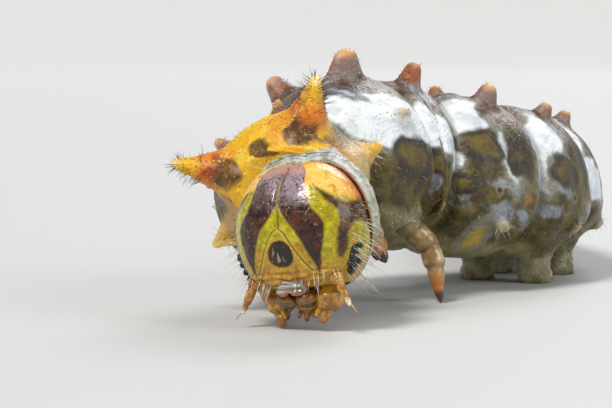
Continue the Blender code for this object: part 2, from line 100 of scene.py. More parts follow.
# Tubercles in mirrored pairs: s, degrees, length, base radius, tip radius, lean to the front. The skin
# starts to rise at the flare, as a share of the base radius.
TUBERCLE_FLARE = 1.5
TUBERCLES = (
    (0.88, 45, 0.84, 0.40, 0.12, 0.30),
    (1.12, 96, 0.42, 0.28, 0.09, 0.0),
    (2.00, 27, 0.40, 0.26, 0.09, 0.0),
    (2.00, 72, 0.26, 0.22, 0.08, 0.0),
    (3.00, 25, 0.66, 0.36, 0.17, 0.0),
    (3.00, 74, 0.30, 0.26, 0.10, 0.0),
    (4.00, 25, 0.58, 0.34, 0.17, 0.0),
    (4.00, 118, 0.24, 0.24, 0.12, 0.0),
    (5.00, 25, 0.48, 0.32, 0.16, 0.0),
    (5.00, 118, 0.24, 0.24, 0.12, 0.0),
    (6.00, 26, 0.34, 0.27, 0.13, 0.0),
    (6.00, 116, 0.18, 0.22, 0.11, 0.0),
    (7.00, 27, 0.32, 0.26, 0.12, 0.0),
    (7.00, 116, 0.18, 0.22, 0.11, 0.0),
    (8.00, 27, 0.34, 0.26, 0.12, 0.0),
    (8.00, 116, 0.18, 0.22, 0.11, 0.0),
    (9.00, 28, 0.38, 0.27, 0.12, 0.0),
    (9.00, 116, 0.18, 0.22, 0.11, 0.0),
    (10.00, 29, 0.44, 0.28, 0.13, 0.0),
    (10.00, 114, 0.20, 0.22, 0.11, 0.0),
    (11.00, 31, 0.56, 0.31, 0.14, 0.0),
    (11.00, 112, 0.22, 0.22, 0.10, 0.0),
    (12.00, 36, 0.62, 0.30, 0.13, 0.0),
    (12.00, 100, 0.26, 0.20, 0.10, 0.0),
    (13.05, 72, 0.24, 0.20, 0.08, 0.0),
)

# Prolegs: s, angle where they leave the body, spread, reach of the root, radii at shares of the height, and
# how far the sole is set forward. From the edge of the root inwards, the skin comes to the ankle and then
# to the sole at shares of the reach.
ANKLE_AT, SOLE_AT = 0.62, 0.70
ROOT_HEIGHT, ANKLE_HEIGHT = 0.62, 0.10
PROLEG_LEVELS = (1.0, 0.55, 0.28, 0.10, 0.0)
PROLEGS = [(s, 152, 0.78, 0.80, (0.50, 0.47, 0.38, 0.43, 0.40), 0.0) for s in (6, 7, 8, 9)]
PROLEGS.append((13, 143, 0.46, 0.48, (0.40, 0.38, 0.31, 0.34, 0.31), -0.1))

# The head: two swollen lobes that meet in a cleft
HEAD_CENTRE = np.array((0.0, 0.0, 1.90))
HEAD_YAW = math.radians(30)
HEAD_ROLL = math.radians(-7)
LOBE_OFFSET = 0.28
LOBE_SIZE = np.array((1.10, 1.37, 1.02))
MOUTH_LEVEL = -1.06

# The soft collar that hugs the back of the head: a cut through it, as places behind the head's middle and
# distances from the head, from the bottom of its cup to its lip and over its rim. It narrows and moves back
# below the middle of the head. Rows of skin join it to the first segment, the first few as clear as it is.
# Two rust lines run round it: strength, row and half width in rows.
COLLAR_CUT = (
    (1.012, 0.015), (0.98, 0.015), (0.91, 0.015), (0.80, 0.015), (0.66, 0.014), (0.52, 0.012),
    (0.42, 0.012), (0.37, 0.014), (0.345, 0.028), (0.35, 0.062), (0.375, 0.10), (0.39, 0.145),
    (0.415, 0.19), (0.46, 0.225), (0.52, 0.245),
)
CUP_FLOOR = 1.03
COLLAR_WIDER, COLLAR_NARROWER, COLLAR_BACK = 0.30, 0.62, 0.20
COLLAR_ROWS = 20
CLEAR_ROWS = 5
COLLAR_S = 0.27
RUST_LINES = ((1.0, 8.8, 1.3), (0.6, 14.5, 0.6))

# The legs of the thorax: their roots, the low sockets round them, their radii at even steps, their joints
# as shares of the length, and the knee and foot of each
LEG_ROOT_ANGLE = 142
HIP_DEPTH = 0.90
SOCKET_RADIUS = 0.66
SOCKET_HEIGHT = 0.26
LEG_RADII = (0.368, 0.324, 0.25, 0.228, 0.162, 0.112, 0.035)
LEG_JOINTS = (0.42, 0.60, 0.75, 0.88)
LEGS = {
    "leg_1_left": ((1.42, 1.85, 1.78), (1.52, 1.60, 1.18)),
    "leg_1_right": ((-0.55, 1.75, 0.75), (-0.30, 1.25, 0.0)),
    "leg_2_left": ((1.48, 3.30, 1.50), (1.75, 3.00, 1.00)),
    "leg_2_right": ((-0.88, 3.35, 0.72), (-0.62, 2.85, 0.0)),
    "leg_3_left": ((2.80, 4.55, 1.15), (2.98, 4.30, 0.0)),
    "leg_3_right": ((-0.05, 5.30, 0.85), (0.0, 4.75, 0.0)),
}


# Shapes in numbers

def unit(v):
    """Vectors of length 1."""
    return v / np.maximum(np.linalg.norm(v, axis=-1, keepdims=True), 1e-9)


def bump(x, width):
    """A smooth rise of 1 at x = 0."""
    return np.exp(-((x / width) ** 2))


def ease(x, low=0.0, high=1.0):
    """A smooth climb from 0 at low to 1 at high."""
    t = np.clip((x - low) / (high - low), 0, 1)
    return t * t * (3 - 2 * t)


def wrinkle(places, size, seed):
    """Smooth unevenness between about -1 and 1 that has no direction, with features of this size."""
    chance = np.random.default_rng(seed)
    total = np.zeros(places.shape[:-1])
    for _ in range(10):
        way = unit(chance.normal(size=3))
        pace = 2 * math.pi / size * chance.uniform(0.7, 1.4)
        total += np.sin(places @ way * pace + chance.uniform(0, 6.3))
    return total / 4


def along(s, column):
    """One column of BODY at s, on a smooth curve through its rows."""
    rows = BODY[:, column]
    wide = np.concatenate(([2 * rows[0] - rows[1]], rows, [2 * rows[-1] - rows[-2]]))
    i = np.clip(np.floor(s).astype(int), 0, LAST - 1)
    t = s - i
    a, b, c, d = (wide[i + k] for k in range(4))
    curve = 2 * b + (c - a) * t + (2 * a - 5 * b + 4 * c - d) * t**2 + (3 * b - 3 * c + d - a) * t**3
    before, after = b + (c - a) / 2 * t, c + (d - b) / 2 * (t - 1)
    return np.where(t < 0, before, np.where(t > 1, after, 0.5 * curve))


def body_frame(s):
    """The middle of the body at s, with unit vectors to its rear, its back and its left."""
    s = np.asarray(s, float)
    middle = np.stack([along(s, k) for k in range(3)], -1)
    rear = unit(np.stack([along(s + 0.4, k) - along(s - 0.4, k) for k in range(3)], -1))
    turn = np.radians(-along(s, 5))
    x = rear[..., 0] * np.cos(turn) - rear[..., 1] * np.sin(turn)
    y = rear[..., 0] * np.sin(turn) + rear[..., 1] * np.cos(turn)
    rear = np.stack([x, y, rear[..., 2]], -1)
    up = unit(np.array((0.0, 0.0, 1.0)) - rear * rear[..., 2:])
    left = np.cross(rear, up)
    lean = np.radians(along(s, 4))[..., None]
    return middle, rear, up * np.cos(lean) - left * np.sin(lean), left * np.cos(lean) + up * np.sin(lean)


def from_groove(s):
    """How far a place is from the nearest groove between segments."""
    return np.where(s > LAST + 0.3, 0.5, np.abs(s - np.floor(s) - 0.5))


def girth(s, degrees):
    """The distance of the skin from the middle of the body."""
    turn = np.abs((degrees + 180) % 360 - 180)
    away = from_groove(s)
    share = 1 - GROOVE_DEPTH * bump(away, GROOVE_WIDTH) - CREASE_DEPTH * bump(away, CREASE_WIDTH)
    share += FOLD_HEIGHT * bump(turn - FOLD_ANGLE, FOLD_WIDTH) * (1.25 - 0.8 * bump(away, 0.12))
    share -= BELLY_FLAT * bump(turn - 180, 45)
    for amount, place, length, angle, width in SWELLINGS:
        share += amount * bump(s - place, length) * bump(turn - angle, width)
    for height, place, width, end, fade in BACK_RIDGES:
        share += height * bump(s - place, width) * ease(end - turn, 0, fade)
    rings = np.cos(2 * math.pi * FINE_RINGS * s) * (1 - bump(away, 0.14))
    rings *= ease(s, 2.6, 3.2) * ease(150 - turn, 0, 30)
    share += FINE_RING_DEPTH * rings * (0.6 + 0.4 * np.cos(np.radians(turn * 5) + 4 * s))
    return along(s, 3) * share


def on_skin(s, degrees, extra=0.0):
    """Points on the smooth skin, or extra outside it."""
    middle, _, back, left = body_frame(s)
    turn = np.radians(degrees)[..., None]
    reach = (girth(s, degrees) + extra)[..., None] * tail_share(s)[..., None]
    return middle + (back * np.cos(turn) + left * np.sin(turn)) * reach


def tail_share(s):
    """The rounding of the last segment towards its end."""
    return np.sqrt(np.clip(1 - (np.clip(s - LAST, 0, None) / TAIL_LENGTH) ** 2, 0, 1))


def skin_scale(place):
    """Millimetres of skin for one step of s, and for one degree round the body, at a place along it."""
    near, far = body_frame(np.array([place - 0.25, place + 0.25]))[0]
    return 2 * np.linalg.norm(far - near), math.radians(float(along(np.array(float(place)), 3)))


def tubercle_cut(length, base, tip, foot):
    """A cut through a tubercle from its flared foot to its top, as radius and height at even steps."""
    corners = np.array((
        (foot, 0.0), (base * 1.18, 0.015), (base * 0.90, 0.14 * length),
        (base * 0.60 + tip * 0.34, 0.34 * length), (tip * 1.12 + base * 0.08, 0.62 * length),
        (tip * 1.02, 0.86 * length), (tip * 0.66, 0.965 * length), (0.0, length),
    ))
    steps = np.concatenate(([0], np.cumsum(np.linalg.norm(np.diff(corners, axis=0), axis=1))))
    fine = np.linspace(0, steps[-1], 121)
    radius, height = (np.interp(fine, steps, corners[:, k]) for k in range(2))
    for _ in range(3):
        for values in (radius, height):
            values[3:-3] = np.convolve(values, np.ones(7) / 7, "valid")
    return fine / steps[-1], radius, height


def tubercle_axis(s, degrees, lean):
    """The unit vector that a tubercle points along."""
    _, rear, back, left = body_frame(s)
    turn = math.radians(degrees)
    return unit(back * math.cos(turn) + left * math.sin(turn) - rear * lean)


def raise_tubercle(points, s, degrees, row, side):
    """Draws the skin round one tubercle's place up into its shape."""
    place, angle, length, base, tip, lean = row
    angle = angle * side
    per_s, per_degree = skin_scale(place)
    foot = base * TUBERCLE_FLARE
    ahead, around = (s - place) * per_s, (degrees - angle) * per_degree
    out = np.hypot(ahead, around)
    near = out < foot
    out = np.maximum(out[near], 1e-6)
    share, radius, height = tubercle_cut(length, base, tip, foot)
    along_cut = 1 - out / foot
    scale = np.interp(along_cut, share, radius) / out
    lifted = on_skin(place + (s[near] - place) * scale, angle + (degrees[near] - angle) * scale)
    points[near] = lifted + tubercle_axis(place, angle, lean) * np.interp(along_cut, share, height)[:, None]
    return near, along_cut


def proleg_stance(place, spread, toe, side):
    """The middle of a proleg's sole, with level unit vectors to the body's rear and outward."""
    middle, rear, _, _ = body_frame(place)
    level = unit(np.array((rear[0], rear[1], 0.0)))
    outward = np.array((level[1], -level[0], 0.0)) * side
    return np.array((middle[0], middle[1], 0.0)) + outward * spread - level * toe, level, outward


def lower_proleg(points, s, degrees, row, side):
    """Draws the belly down into one proleg with a flat sole on the floor."""
    place, angle, spread, reach, radii, toe = row
    per_s, per_degree = skin_scale(place)
    foot, level, outward = proleg_stance(place, spread, toe, side)
    top = body_frame(place)[0] - np.array((0, 0, 0.45 * BODY[place, 3])) + outward * spread * 0.75
    back, away = (s - place) * per_s, -(degrees * side - angle) * per_degree
    out = np.hypot(back, away)
    near = out < reach
    out = np.maximum(out[near], 1e-6)
    share = 1 - out / reach
    sole = share > SOLE_AT
    height = np.interp(share, (0, ANKLE_AT, SOLE_AT, 1.0), (ROOT_HEIGHT, ANKLE_HEIGHT, 0.0, 0.0))
    radius = np.interp(height, PROLEG_LEVELS[::-1], radii[::-1])
    radius *= 1 + 0.05 * np.sin(height * 44) * (height > 0.04)
    radius = np.where(sole, radii[-1] * (1 - share) / (1 - SOLE_AT), radius)
    ring = outward * (away[near] / out)[:, None] + level * (back[near] / out)[:, None]
    limb = foot + (top - foot) * height[:, None] + ring * radius[:, None]
    blend = ease(share, 0.0, 0.34)[:, None]
    points[near] = points[near] * (1 - blend) + limb * blend
    points[near, 2] = np.where(sole, 0.0, np.maximum(points[near, 2], 0.0))
    return near, ease(share, 0.0, ANKLE_AT)


def leg_root(number, side, knee):
    """Where a leg starts inside the body, and the unit vector towards its knee."""
    hip = on_skin(np.array([number - 0.05]), np.array([side * float(LEG_ROOT_ANGLE)]), -HIP_DEPTH)[0]
    return hip, unit(np.array(knee) - hip)


def raise_socket(points, number, side, knee):
    """Draws the skin out a little round the root of a leg."""
    hip, way = leg_root(number, side, knee)
    from_hip = points - hip
    ahead = from_hip @ way
    off = np.linalg.norm(from_hip - ahead[:, None] * way, axis=1)
    share = ease(SOCKET_RADIUS - off, 0.0, 0.30) * ease(ahead, 0.0, 0.3) * (ahead < 1.5)
    points += way * (share * SOCKET_HEIGHT)[:, None]
    return share


# Meshes

def settle(piece):
    """Takes a finished piece from millimetres to the part's own frame in metres."""
    piece.data.transform(Matrix.Scale(MM, 4) @ Matrix.Translation(-Vector(PLAN_CENTRE)))
    piece.data.update()


def deselect():
    """Leaves nothing selected, because the operators act on all that is."""
    if bpy.context.mode != "OBJECT":
        bpy.ops.object.mode_set(mode="OBJECT")
    bpy.ops.object.select_all(action="DESELECT")


def close_up(piece, distance=1e-5):
    """Merges points that coincide at seams and poles, and turns all faces outward."""
    deselect()
    bpy.context.view_layer.objects.active = piece
    piece.select_set(True)
    bpy.ops.object.mode_set(mode="EDIT")
    bpy.ops.mesh.select_all(action="SELECT")
    bpy.ops.mesh.remove_doubles(threshold=distance)
    bpy.ops.mesh.normals_make_consistent(inside=False)
    bpy.ops.object.mode_set(mode="OBJECT")
    bpy.ops.object.shade_smooth()


def swept(name, rings, fields):
    """A grid whose rows become rings of points. A ring that is all one point closes that end."""
    rows, columns = rings.shape[:2]
    deselect()
    bpy.ops.mesh.primitive_grid_add(x_subdivisions=columns, y_subdivisions=rows - 1, size=2)
    piece = bpy.context.object
    piece.name = piece.data.name = name
    move_points(piece, np.concatenate([rings, rings[:, :1]], 1))
    store(piece, {word: np.concatenate([values, values[:, :1]], 1) for word, values in fields.items()})
    close_up(piece)
    return piece


def store(piece, fields):
    """Keeps numbers for each point of the mesh, for its finish to read."""
    for word, values in fields.items():
        attribute = piece.data.attributes.new(word, "FLOAT", "POINT")
        attribute.data.foreach_set("value", np.ascontiguousarray(values.reshape(-1), dtype=np.float32))


def places_of(piece):
    """The mesh's points as an array."""
    flat = np.empty(len(piece.data.vertices) * 3, np.float32)
    piece.data.vertices.foreach_get("co", flat)
    return flat.reshape(-1, 3).astype(float)


def move_points(piece, places):
    """Puts the mesh's points at new places."""
    piece.data.vertices.foreach_set("co", np.ascontiguousarray(places.reshape(-1), dtype=np.float32))
    piece.data.update()


def grid_normals(rings):
    """Unit normals of rings of points, facing outwards."""
    down = np.gradient(rings, axis=0)
    around = np.roll(rings, -1, 1) - np.roll(rings, 1, 1)
    return unit(np.cross(around, down))


# The head's own frame

def turned(v, angle, axis):
    """A vector turned about a unit axis."""
    c, n = math.cos(angle), math.sin(angle)
    return v * c + np.cross(axis, v) * n + axis * (axis @ v) * (1 - c)


HEAD_AHEAD = np.array((-math.sin(HEAD_YAW), -math.cos(HEAD_YAW), 0.0))
HEAD_LEFT = turned(np.array((math.cos(HEAD_YAW), -math.sin(HEAD_YAW), 0.0)), -HEAD_ROLL, HEAD_AHEAD)
HEAD_TOP = turned(np.array((0.0, 0.0, 1.0)), -HEAD_ROLL, HEAD_AHEAD)
HEAD_AXES = np.array((HEAD_LEFT, HEAD_TOP, HEAD_AHEAD))


def head_place(points):
    """Points given in the head's own frame."""
    return HEAD_CENTRE + np.asarray(points, float) @ HEAD_AXES


# The skin

def row_places():
    """Places along the body where the skin has a ring, closer together where its shape is fine."""
    ends = (NECK_S, *np.arange(1.5, 13), 13.0, LAST + TAIL_LENGTH - 0.004)
    rows = (48, 44, 44, 38, 36, 34, 32, 30, 28, 28, 28, 26, 13, 24)
    parts = [np.linspace(a, b, n, endpoint=False) for a, b, n in zip(ends, ends[1:], rows)]
    return np.concatenate(parts + [[ends[-1]]])


def column_angles(count=192):
    """Angles round the body, closer together where the horns and tubercles stand."""
    fine = np.linspace(-180, 180, 2001)
    weight = 1 + 0.9 * bump(np.abs(fine) - 36, 24) + 0.3 * bump(np.abs(fine) - 110, 30)
    run = np.concatenate(([0], np.cumsum((weight[1:] + weight[:-1]) / 2)))
    return np.interp(np.arange(count) / count * run[-1], run, fine)


def shoulder_relief(s, turn, raised):
    """The ridges and grooves over the first segment, as heights over the smooth skin."""
    wander = np.sin(np.radians(turn * 6))
    height = sum(tall * bump(s - place - far * wander, half) for place, tall, half, far in SHOULDER_RIDGES)
    return height * ease(62 - turn, 0, 18) * (1 - ease(raised, 0.1, 0.5))


def mould(points, s, degrees):
    """Draws the smooth skin out into tubercles, prolegs and sockets, and says where and how far."""
    raised, lowered = np.zeros(len(s)), np.zeros(len(s))
    for row in TUBERCLES:
        for side in (1, -1):
            near, share = raise_tubercle(points, s, degrees, row, side)
            raised[near] = np.maximum(raised[near], share)
    for row in PROLEGS:
        for side in (1, -1):
            near, share = lower_proleg(points, s, degrees, row, side)
            lowered[near] = share
    for node, (knee, _) in LEGS.items():
        side = 1 if node.endswith("left") else -1
        lowered = np.maximum(lowered, 0.5 * raise_socket(points, int(node[4]), side, knee))
    return raised, lowered


def skin_rings():
    """All rings of the skin from the bottom of the collar's cup to the tail, and what its finish reads."""
    angles, places = column_angles(), row_places()
    shape = (len(places), len(angles))
    s, degrees = [grid.reshape(-1) for grid in np.meshgrid(places, angles, indexing="ij")]
    points = on_skin(s, degrees)
    raised, lowered = mould(points, s, degrees)
    rings = points.reshape(*shape, 3)
    s, degrees, raised, lowered = (values.reshape(shape) for values in (s, degrees, raised, lowered))
    rough = wrinkle(rings, 0.42, 1) * 0.006 + wrinkle(rings, 0.19, 2) * 0.004
    rough += shoulder_relief(s, np.abs(degrees), raised)
    rings = rings + grid_normals(rings) * (rough * (1 - lowered))[..., None]
    rings[..., 2] = np.maximum(rings[..., 2], 0.0)
    tail = np.broadcast_to(rings[-1].mean(0), rings[-1:].shape)
    fields = skin_fields(rings, s, degrees)
    fields |= {"raised": raised, "lowered": lowered}
    fields |= {word: np.zeros(shape) for word in ("neck", "rim", "line")}

    collar = collar_rings(angles, rings[0])
    number = np.arange(len(collar))[:, None] + np.zeros(len(angles))
    neck_s = NECK_S - COLLAR_S * (len(collar) - number) / COLLAR_ROWS
    side_rows = 7 * bump(angles - 72, 34) + 3 * bump(angles + 72, 34)
    front = skin_fields(collar, neck_s, np.broadcast_to(angles, number.shape))
    front |= {
        "neck": ease(len(COLLAR_CUT) + CLEAR_ROWS + side_rows - number, 0, 4),
        "line": number,
        "rim": sum(strong * bump(number - row, half) for strong, row, half in RUST_LINES),
        "joint": np.zeros(number.shape),
    }
    for word, values in fields.items():
        before = front.get(word, np.broadcast_to(values[:1], number.shape))
        fields[word] = np.concatenate([before, values, values[-1:]])
    return np.concatenate([collar, rings, tail]), fields


def head_section(across, high, behind):
    """How far the head reaches from its axis along a direction across it, at a place behind its middle."""
    scale = math.sqrt(max(1 - (behind / LOBE_SIZE[2]) ** 2, 0.0))
    x, y, shift = across / LOBE_SIZE[0], high / LOBE_SIZE[1], LOBE_OFFSET / LOBE_SIZE[0]
    a, b, c = x * x + y * y, np.abs(x) * shift, shift * shift - scale * scale
    return (b + np.sqrt(np.maximum(b * b - a * c, 0.0))) / a


def pleats(angles, coarse, fine):
    """Small folds round the collar, so many coarse and so many fine ones."""
    turn = np.radians(angles)
    return 0.004 * np.sin(turn * coarse) + 0.003 * np.sin(turn * fine + 1)


def collar_rings(angles, first_ring):
    """The cup that holds the head, its rolled rim, and the soft neck behind it."""
    _, _, back, left = body_frame(0.5)
    turn = np.radians(angles)[:, None]
    way = back * np.cos(turn) + left * np.sin(turn)
    way = unit(way - HEAD_AHEAD * (way @ HEAD_AHEAD)[:, None])
    across, high = way @ HEAD_LEFT, way @ HEAD_TOP
    rings = [np.broadcast_to(HEAD_CENTRE - HEAD_AHEAD * CUP_FLOOR, way.shape)]
    low = ease(-high, -0.15, 0.55)
    wide = 1 + COLLAR_WIDER * ease(high, 0.0, 0.7) - COLLAR_NARROWER * low
    fold = pleats(angles, 23, 41)
    cup_end = COLLAR_CUT[0][0]
    for behind, gap in COLLAR_CUT:
        back_by = behind + COLLAR_BACK * low * (cup_end - behind) / 0.67
        width = (gap + fold * min(gap * 5, 1)) * wide
        reach = np.array([head_section(a, h, b) for a, h, b in zip(across, high, back_by)]) + width
        rings.append(HEAD_CENTRE - HEAD_AHEAD * back_by[:, None] + way * reach[:, None])
    rim = rings[-1]
    pleat = pleats(angles, 19, 31)[:, None]
    for k in range(1, COLLAR_ROWS):
        share = k / COLLAR_ROWS
        bulge = math.sin(math.pi * share)
        swell = 1 + (0.03 + pleat) * bulge + 0.006 * math.sin(share * 38)
        middle = rim.mean(0) * (1 - share) + first_ring.mean(0) * share
        rings.append(middle + (rim * (1 - share) + first_ring * share - middle) * swell)
    return np.array(rings)


# Where hairs and grains may stand: places, normals, an unwrap of the surface, areas and fields
Ground = namedtuple("Ground", "places normals unwrap area fields")

# Marks of the skin: s, degrees, half length along the body and half width round it, and a turn in degrees
# if any
WHITE_MARKS = (
    (2.10, 84, 0.60, 0.55), (2.60, 50, 0.34, 0.44), (2.95, 74, 0.80, 0.78), (3.45, 78, 0.50, 0.45),
    (3.62, 66, 0.50, 0.50), (4.15, 68, 0.72, 0.46), (4.64, 40, 0.42, 0.72), (4.47, 78, 0.20, 0.72),
    (5.62, 50, 0.60, 0.66, 10), (5.00, 68, 0.13, 0.60, -14), (5.45, 76, 0.16, 0.46),
    (6.62, 80, 0.80, 0.60, 20), (6.50, 40, 0.34, 0.70), (7.40, 98, 0.60, 0.34), (7.55, 30, 0.20, 0.60),
    (8.45, 60, 0.20, 0.55), (9.5, 55, 0.20, 0.50), (10.5, 70, 0.40, 0.70), (11.2, 78, 0.62, 0.55),
    (11.7, 45, 0.40, 0.50), (12.5, 70, 0.50, 0.50), (13.3, 40, 0.30, 0.50), (8.5, 106, 0.30, 0.20),
    (9.5, 104, 0.30, 0.22),
)
OLIVE_MARKS = (
    (3.02, 103, 0.44, 0.44), (4.73, 67, 0.40, 0.42), (5.13, 71, 0.20, 0.44, -18), (3.62, 98, 0.30, 0.30),
    (5.75, 78, 0.28, 0.36), (6.10, 66, 0.24, 0.30), (6.95, 62, 0.34, 0.36), (7.75, 72, 0.38, 0.36),
    (8.70, 70, 0.36, 0.34), (9.70, 70, 0.34, 0.32), (4.55, 96, 0.34, 0.30), (10.1, 60, 0.30, 0.30),
    (11.0, 56, 0.24, 0.26), (12.0, 60, 0.20, 0.24),
)
# Bluish bars of painted shade, the first one in the groove behind the horn
BLUISH_SHADE_MARKS = ((2.79, 42, 0.15, 0.42, -14), (5.32, 52, 0.12, 0.34), (4.02, 50, 0.12, 0.28))
GREY_MARKS = (
    (3.58, 112, 0.14, 0.34), (4.89, 92, 0.42, 0.12, 8), (4.58, 104, 0.24, 0.20), (4.94, 109, 0.30, 0.20),
    (5.20, 114, 0.24, 0.16, 30), (5.60, 107, 0.34, 0.16, -20), (5.75, 90, 0.28, 0.22),
    (4.10, 36, 0.34, 0.32), (5.35, 26, 0.30, 0.34), (6.30, 104, 0.34, 0.16, 20), (7.1, 112, 0.3, 0.18, -20),
    (8.1, 108, 0.34, 0.16, 15), (9.1, 106, 0.30, 0.16, -15), (10.1, 104, 0.26, 0.16, 10),
    (6.4, 22, 0.30, 0.34), (7.4, 20, 0.28, 0.30), (8.4, 20, 0.26, 0.30), (9.4, 20, 0.26, 0.30),
    (3.35, 30, 0.30, 0.40),
)
THORAX_SPOTS = ((0.63, 39, 0.30, 0.36), (0.57, 0, 0.27, 0.29))
# Painted shadow: olive-brown marks beside the horn's foot and the side wart of the first segment
PAINTED_SHADE_MARKS = (
    (0.93, 73, 0.30, 0.20), (1.10, 70, 0.34, 0.36, 20), (1.28, 92, 0.16, 0.60), (1.05, 112, 0.40, 0.22),
)
PALE_MARKS = ((0.84, 86, 0.34, 0.22), (0.72, 98, 0.30, 0.30))
PINK_MARKS = ((0.56, 29, 0.09, 0.08),)
ORANGE_DOTS = [(5.22, 100, 0.13, 0.11)] + [(s + 0.15, 99, 0.10, 0.08) for s in range(6, 11)]
WART_PATCHES = ((4.86, 135, 0.21, 0.56), (3.9, 146, 0.24, 0.30))
# Those whose edges stray far over the skin, and those that stray a little
LOOSE_MARKS = {
    "white": WHITE_MARKS, "olive": OLIVE_MARKS, "grey": GREY_MARKS, "bluish_shade": BLUISH_SHADE_MARKS, "painted_shade": PAINTED_SHADE_MARKS,
    "pale": PALE_MARKS,
}
TIGHT_MARKS = {"brown": THORAX_SPOTS, "orange": ORANGE_DOTS, "pink": PINK_MARKS, "patch": WART_PATCHES}
AIR_HOLES = [(s - 0.10, 96, 0.050, 0.085) for s in range(4, 12)] + [(1.30, 107, 0.06, 0.10)]


def spot_field(s, degrees, marks):
    """How far inside the nearest of these oval marks a place lies, in millimetres; negative outside."""
    best = np.full(s.shape, -0.6)
    for place, angle, long_half, round_half, *turned_by in marks:
        per_s, per_degree = skin_scale(place)
        x, y = (s - place) * per_s, (np.abs(degrees) - angle) * per_degree
        turn = math.radians(sum(turned_by))
        c, n = math.cos(turn), math.sin(turn)
        x, y = x * c + y * n, y * c - x * n
        inside = (1 - np.hypot(x / long_half, y / round_half)) * min(long_half, round_half)
        best = np.maximum(best, inside)
    return best


def skin_fields(rings, s, degrees):
    """Numbers for each point of the skin that its finish turns to colours."""
    loose = (
        s + 0.05 * wrinkle(rings, 0.9, 11) + 0.02 * wrinkle(rings, 0.3, 12),
        degrees + 2.2 * wrinkle(rings, 0.8, 13) + 0.9 * wrinkle(rings, 0.3, 14),
    )
    tight = s + 0.015 * wrinkle(rings, 0.35, 15), degrees + 0.8 * wrinkle(rings, 0.35, 16)
    turn = np.abs(degrees)
    fields = {word: spot_field(*loose, marks) for word, marks in LOOSE_MARKS.items()}
    fields |= {word: spot_field(*tight, marks) for word, marks in TIGHT_MARKS.items()}
    fields |= {
        "air_hole": spot_field(s, degrees, AIR_HOLES),
        "joint": bump(from_groove(s), 0.05) * (s > 1),
        "back": ease(75 - turn, 0, 45),
        "belly": ease(turn, 128, 150),
        "place": s,
        "turn": turn,
    }
    edge = 63 + 4 * np.sin(s * 9) - 14 * ease(s, 1.0, 1.5)
    first = np.minimum(np.minimum((s + 0.2) * 1.5, (1.46 - s) * 1.5), (edge - turn) * 0.027)
    second = np.minimum(np.minimum((s - 1.62) * 1.6, (2.34 - s) * 1.6), (44 - turn) * 0.027)
    fields["yellow"] = np.maximum(first, second)
    fields["brown"] -= 0.3 * (s < 0.57) * bump(turn - 16, 7)
    return fields


def make_skin():
    """One skin for the collar, the body, its horns and its prolegs, and the ground of its hairs."""
    rings, fields = skin_rings()
    rows, columns = rings.shape[:2]
    v, u = np.meshgrid(np.arange(rows) / rows, np.arange(columns) / columns, indexing="ij")
    normals = grid_normals(rings)
    down, around = np.gradient(rings, axis=0), np.roll(rings, -1, 1) - np.roll(rings, 1, 1)
    area = np.linalg.norm(np.cross(around, down), axis=-1).reshape(-1)
    flat = {word: values.reshape(-1) for word, values in fields.items()}
    area *= (flat["neck"] == 0) * (flat["place"] < LAST + 0.7)
    unwrap = np.stack([u, v], -1).reshape(-1, 2)
    ground = Ground(rings.reshape(-1, 3), normals.reshape(-1, 3), unwrap, area, flat)
    return swept("skin", rings, fields), ground


# Lumps, limbs and hairs

# Share of a limb's length over which each end is rounded
LIMB_END = 0.045

# A hair: the number of its sides, its rings as shares of its length, and their thickness
HAIR_SIDES = 4
HAIR_STEPS = np.array((0.0, 0.3, 0.62, 1.0))
HAIR_WIDTHS = np.array((1.0, 0.8, 0.5, 0.06))

# The hooks on a proleg's sole: how many, length, thickness, droop, and place inside the edge and above it
HOOKS = 26
HOOK_SIZES = (0.085, 0.013, 0.75)
HOOK_INSET, HOOK_HEIGHT = 0.035, 0.075


def ball(name, segments, rings):
    """A sphere of radius 1 with its poles above and below, as ways from its middle: across, high, ahead."""
    deselect()
    bpy.ops.mesh.primitive_uv_sphere_add(segments=segments, ring_count=rings, radius=1)
    piece = bpy.context.object
    piece.name = piece.data.name = name
    ways = unit(places_of(piece)[:, [0, 2, 1]] * np.array((1, 1, -1)))
    return piece, ways


def lobe_reach(ways, offset, size):
    """How far a ball, moved sideways by offset, reaches from the middle along each way."""
    o = np.array((-offset, 0.0, 0.0)) / size
    d = ways / size
    a, b, c = (d * d).sum(-1), (d @ o), (o @ o) - 1
    return (-b + np.sqrt(b * b - a * c)) / a


def smooth_max(a, b, width):
    """The larger of two, rounded where they cross."""
    return np.maximum(a, b) + width * np.exp(-np.abs(a - b) / width) * 0.5


def make_limb(name, points, radii, rows, sides, joints, pinch):
    """A bent limb, rounded at both ends and drawn in at its joints, which are shares of its length."""
    points, radii = np.asarray(points, float), np.asarray(radii, float)
    run = np.concatenate(([0], np.cumsum(np.linalg.norm(np.diff(points, axis=0), axis=1))))
    run /= run[-1]
    share = np.linspace(0, 1, rows)
    middle = np.stack([np.interp(share, run, points[:, k]) for k in range(3)], 1)
    size = np.interp(share, run, radii)
    for _ in range(2):
        middle[1:-1] = (middle[:-2] + middle[1:-1] * 2 + middle[2:]) / 4
    for joint in joints:
        size *= 1 - pinch * bump(share - joint, 0.018) + 0.06 * bump(share - joint + 0.05, 0.03)
    for end in (share, 1 - share):
        size *= np.sqrt(1 - (1 - np.clip(end / LIMB_END, 0, 1)) ** 2)
    size[0] = size[-1] = 0
    way = unit(np.gradient(middle, axis=0))
    across = unit(np.cross(way, (0.3, 0.2, 1.0)))
    up = np.cross(across, way)
    turn = np.linspace(0, 2 * math.pi, sides, endpoint=False)[None, :, None]
    round_it = across[:, None] * np.cos(turn) + up[:, None] * np.sin(turn)
    rings = middle[:, None] + round_it * size[:, None, None]
    rings[..., 2] = np.maximum(rings[..., 2], 0.0)
    return swept(name, rings, {"down": np.broadcast_to(share[:, None], (rows, sides))})


def join(name, pieces):
    """Several meshes made into one piece."""
    deselect()
    for piece in pieces:
        piece.select_set(True)
    bpy.context.view_layer.objects.active = pieces[0]
    bpy.ops.object.join()
    pieces[0].name = pieces[0].data.name = name
    return pieces[0]


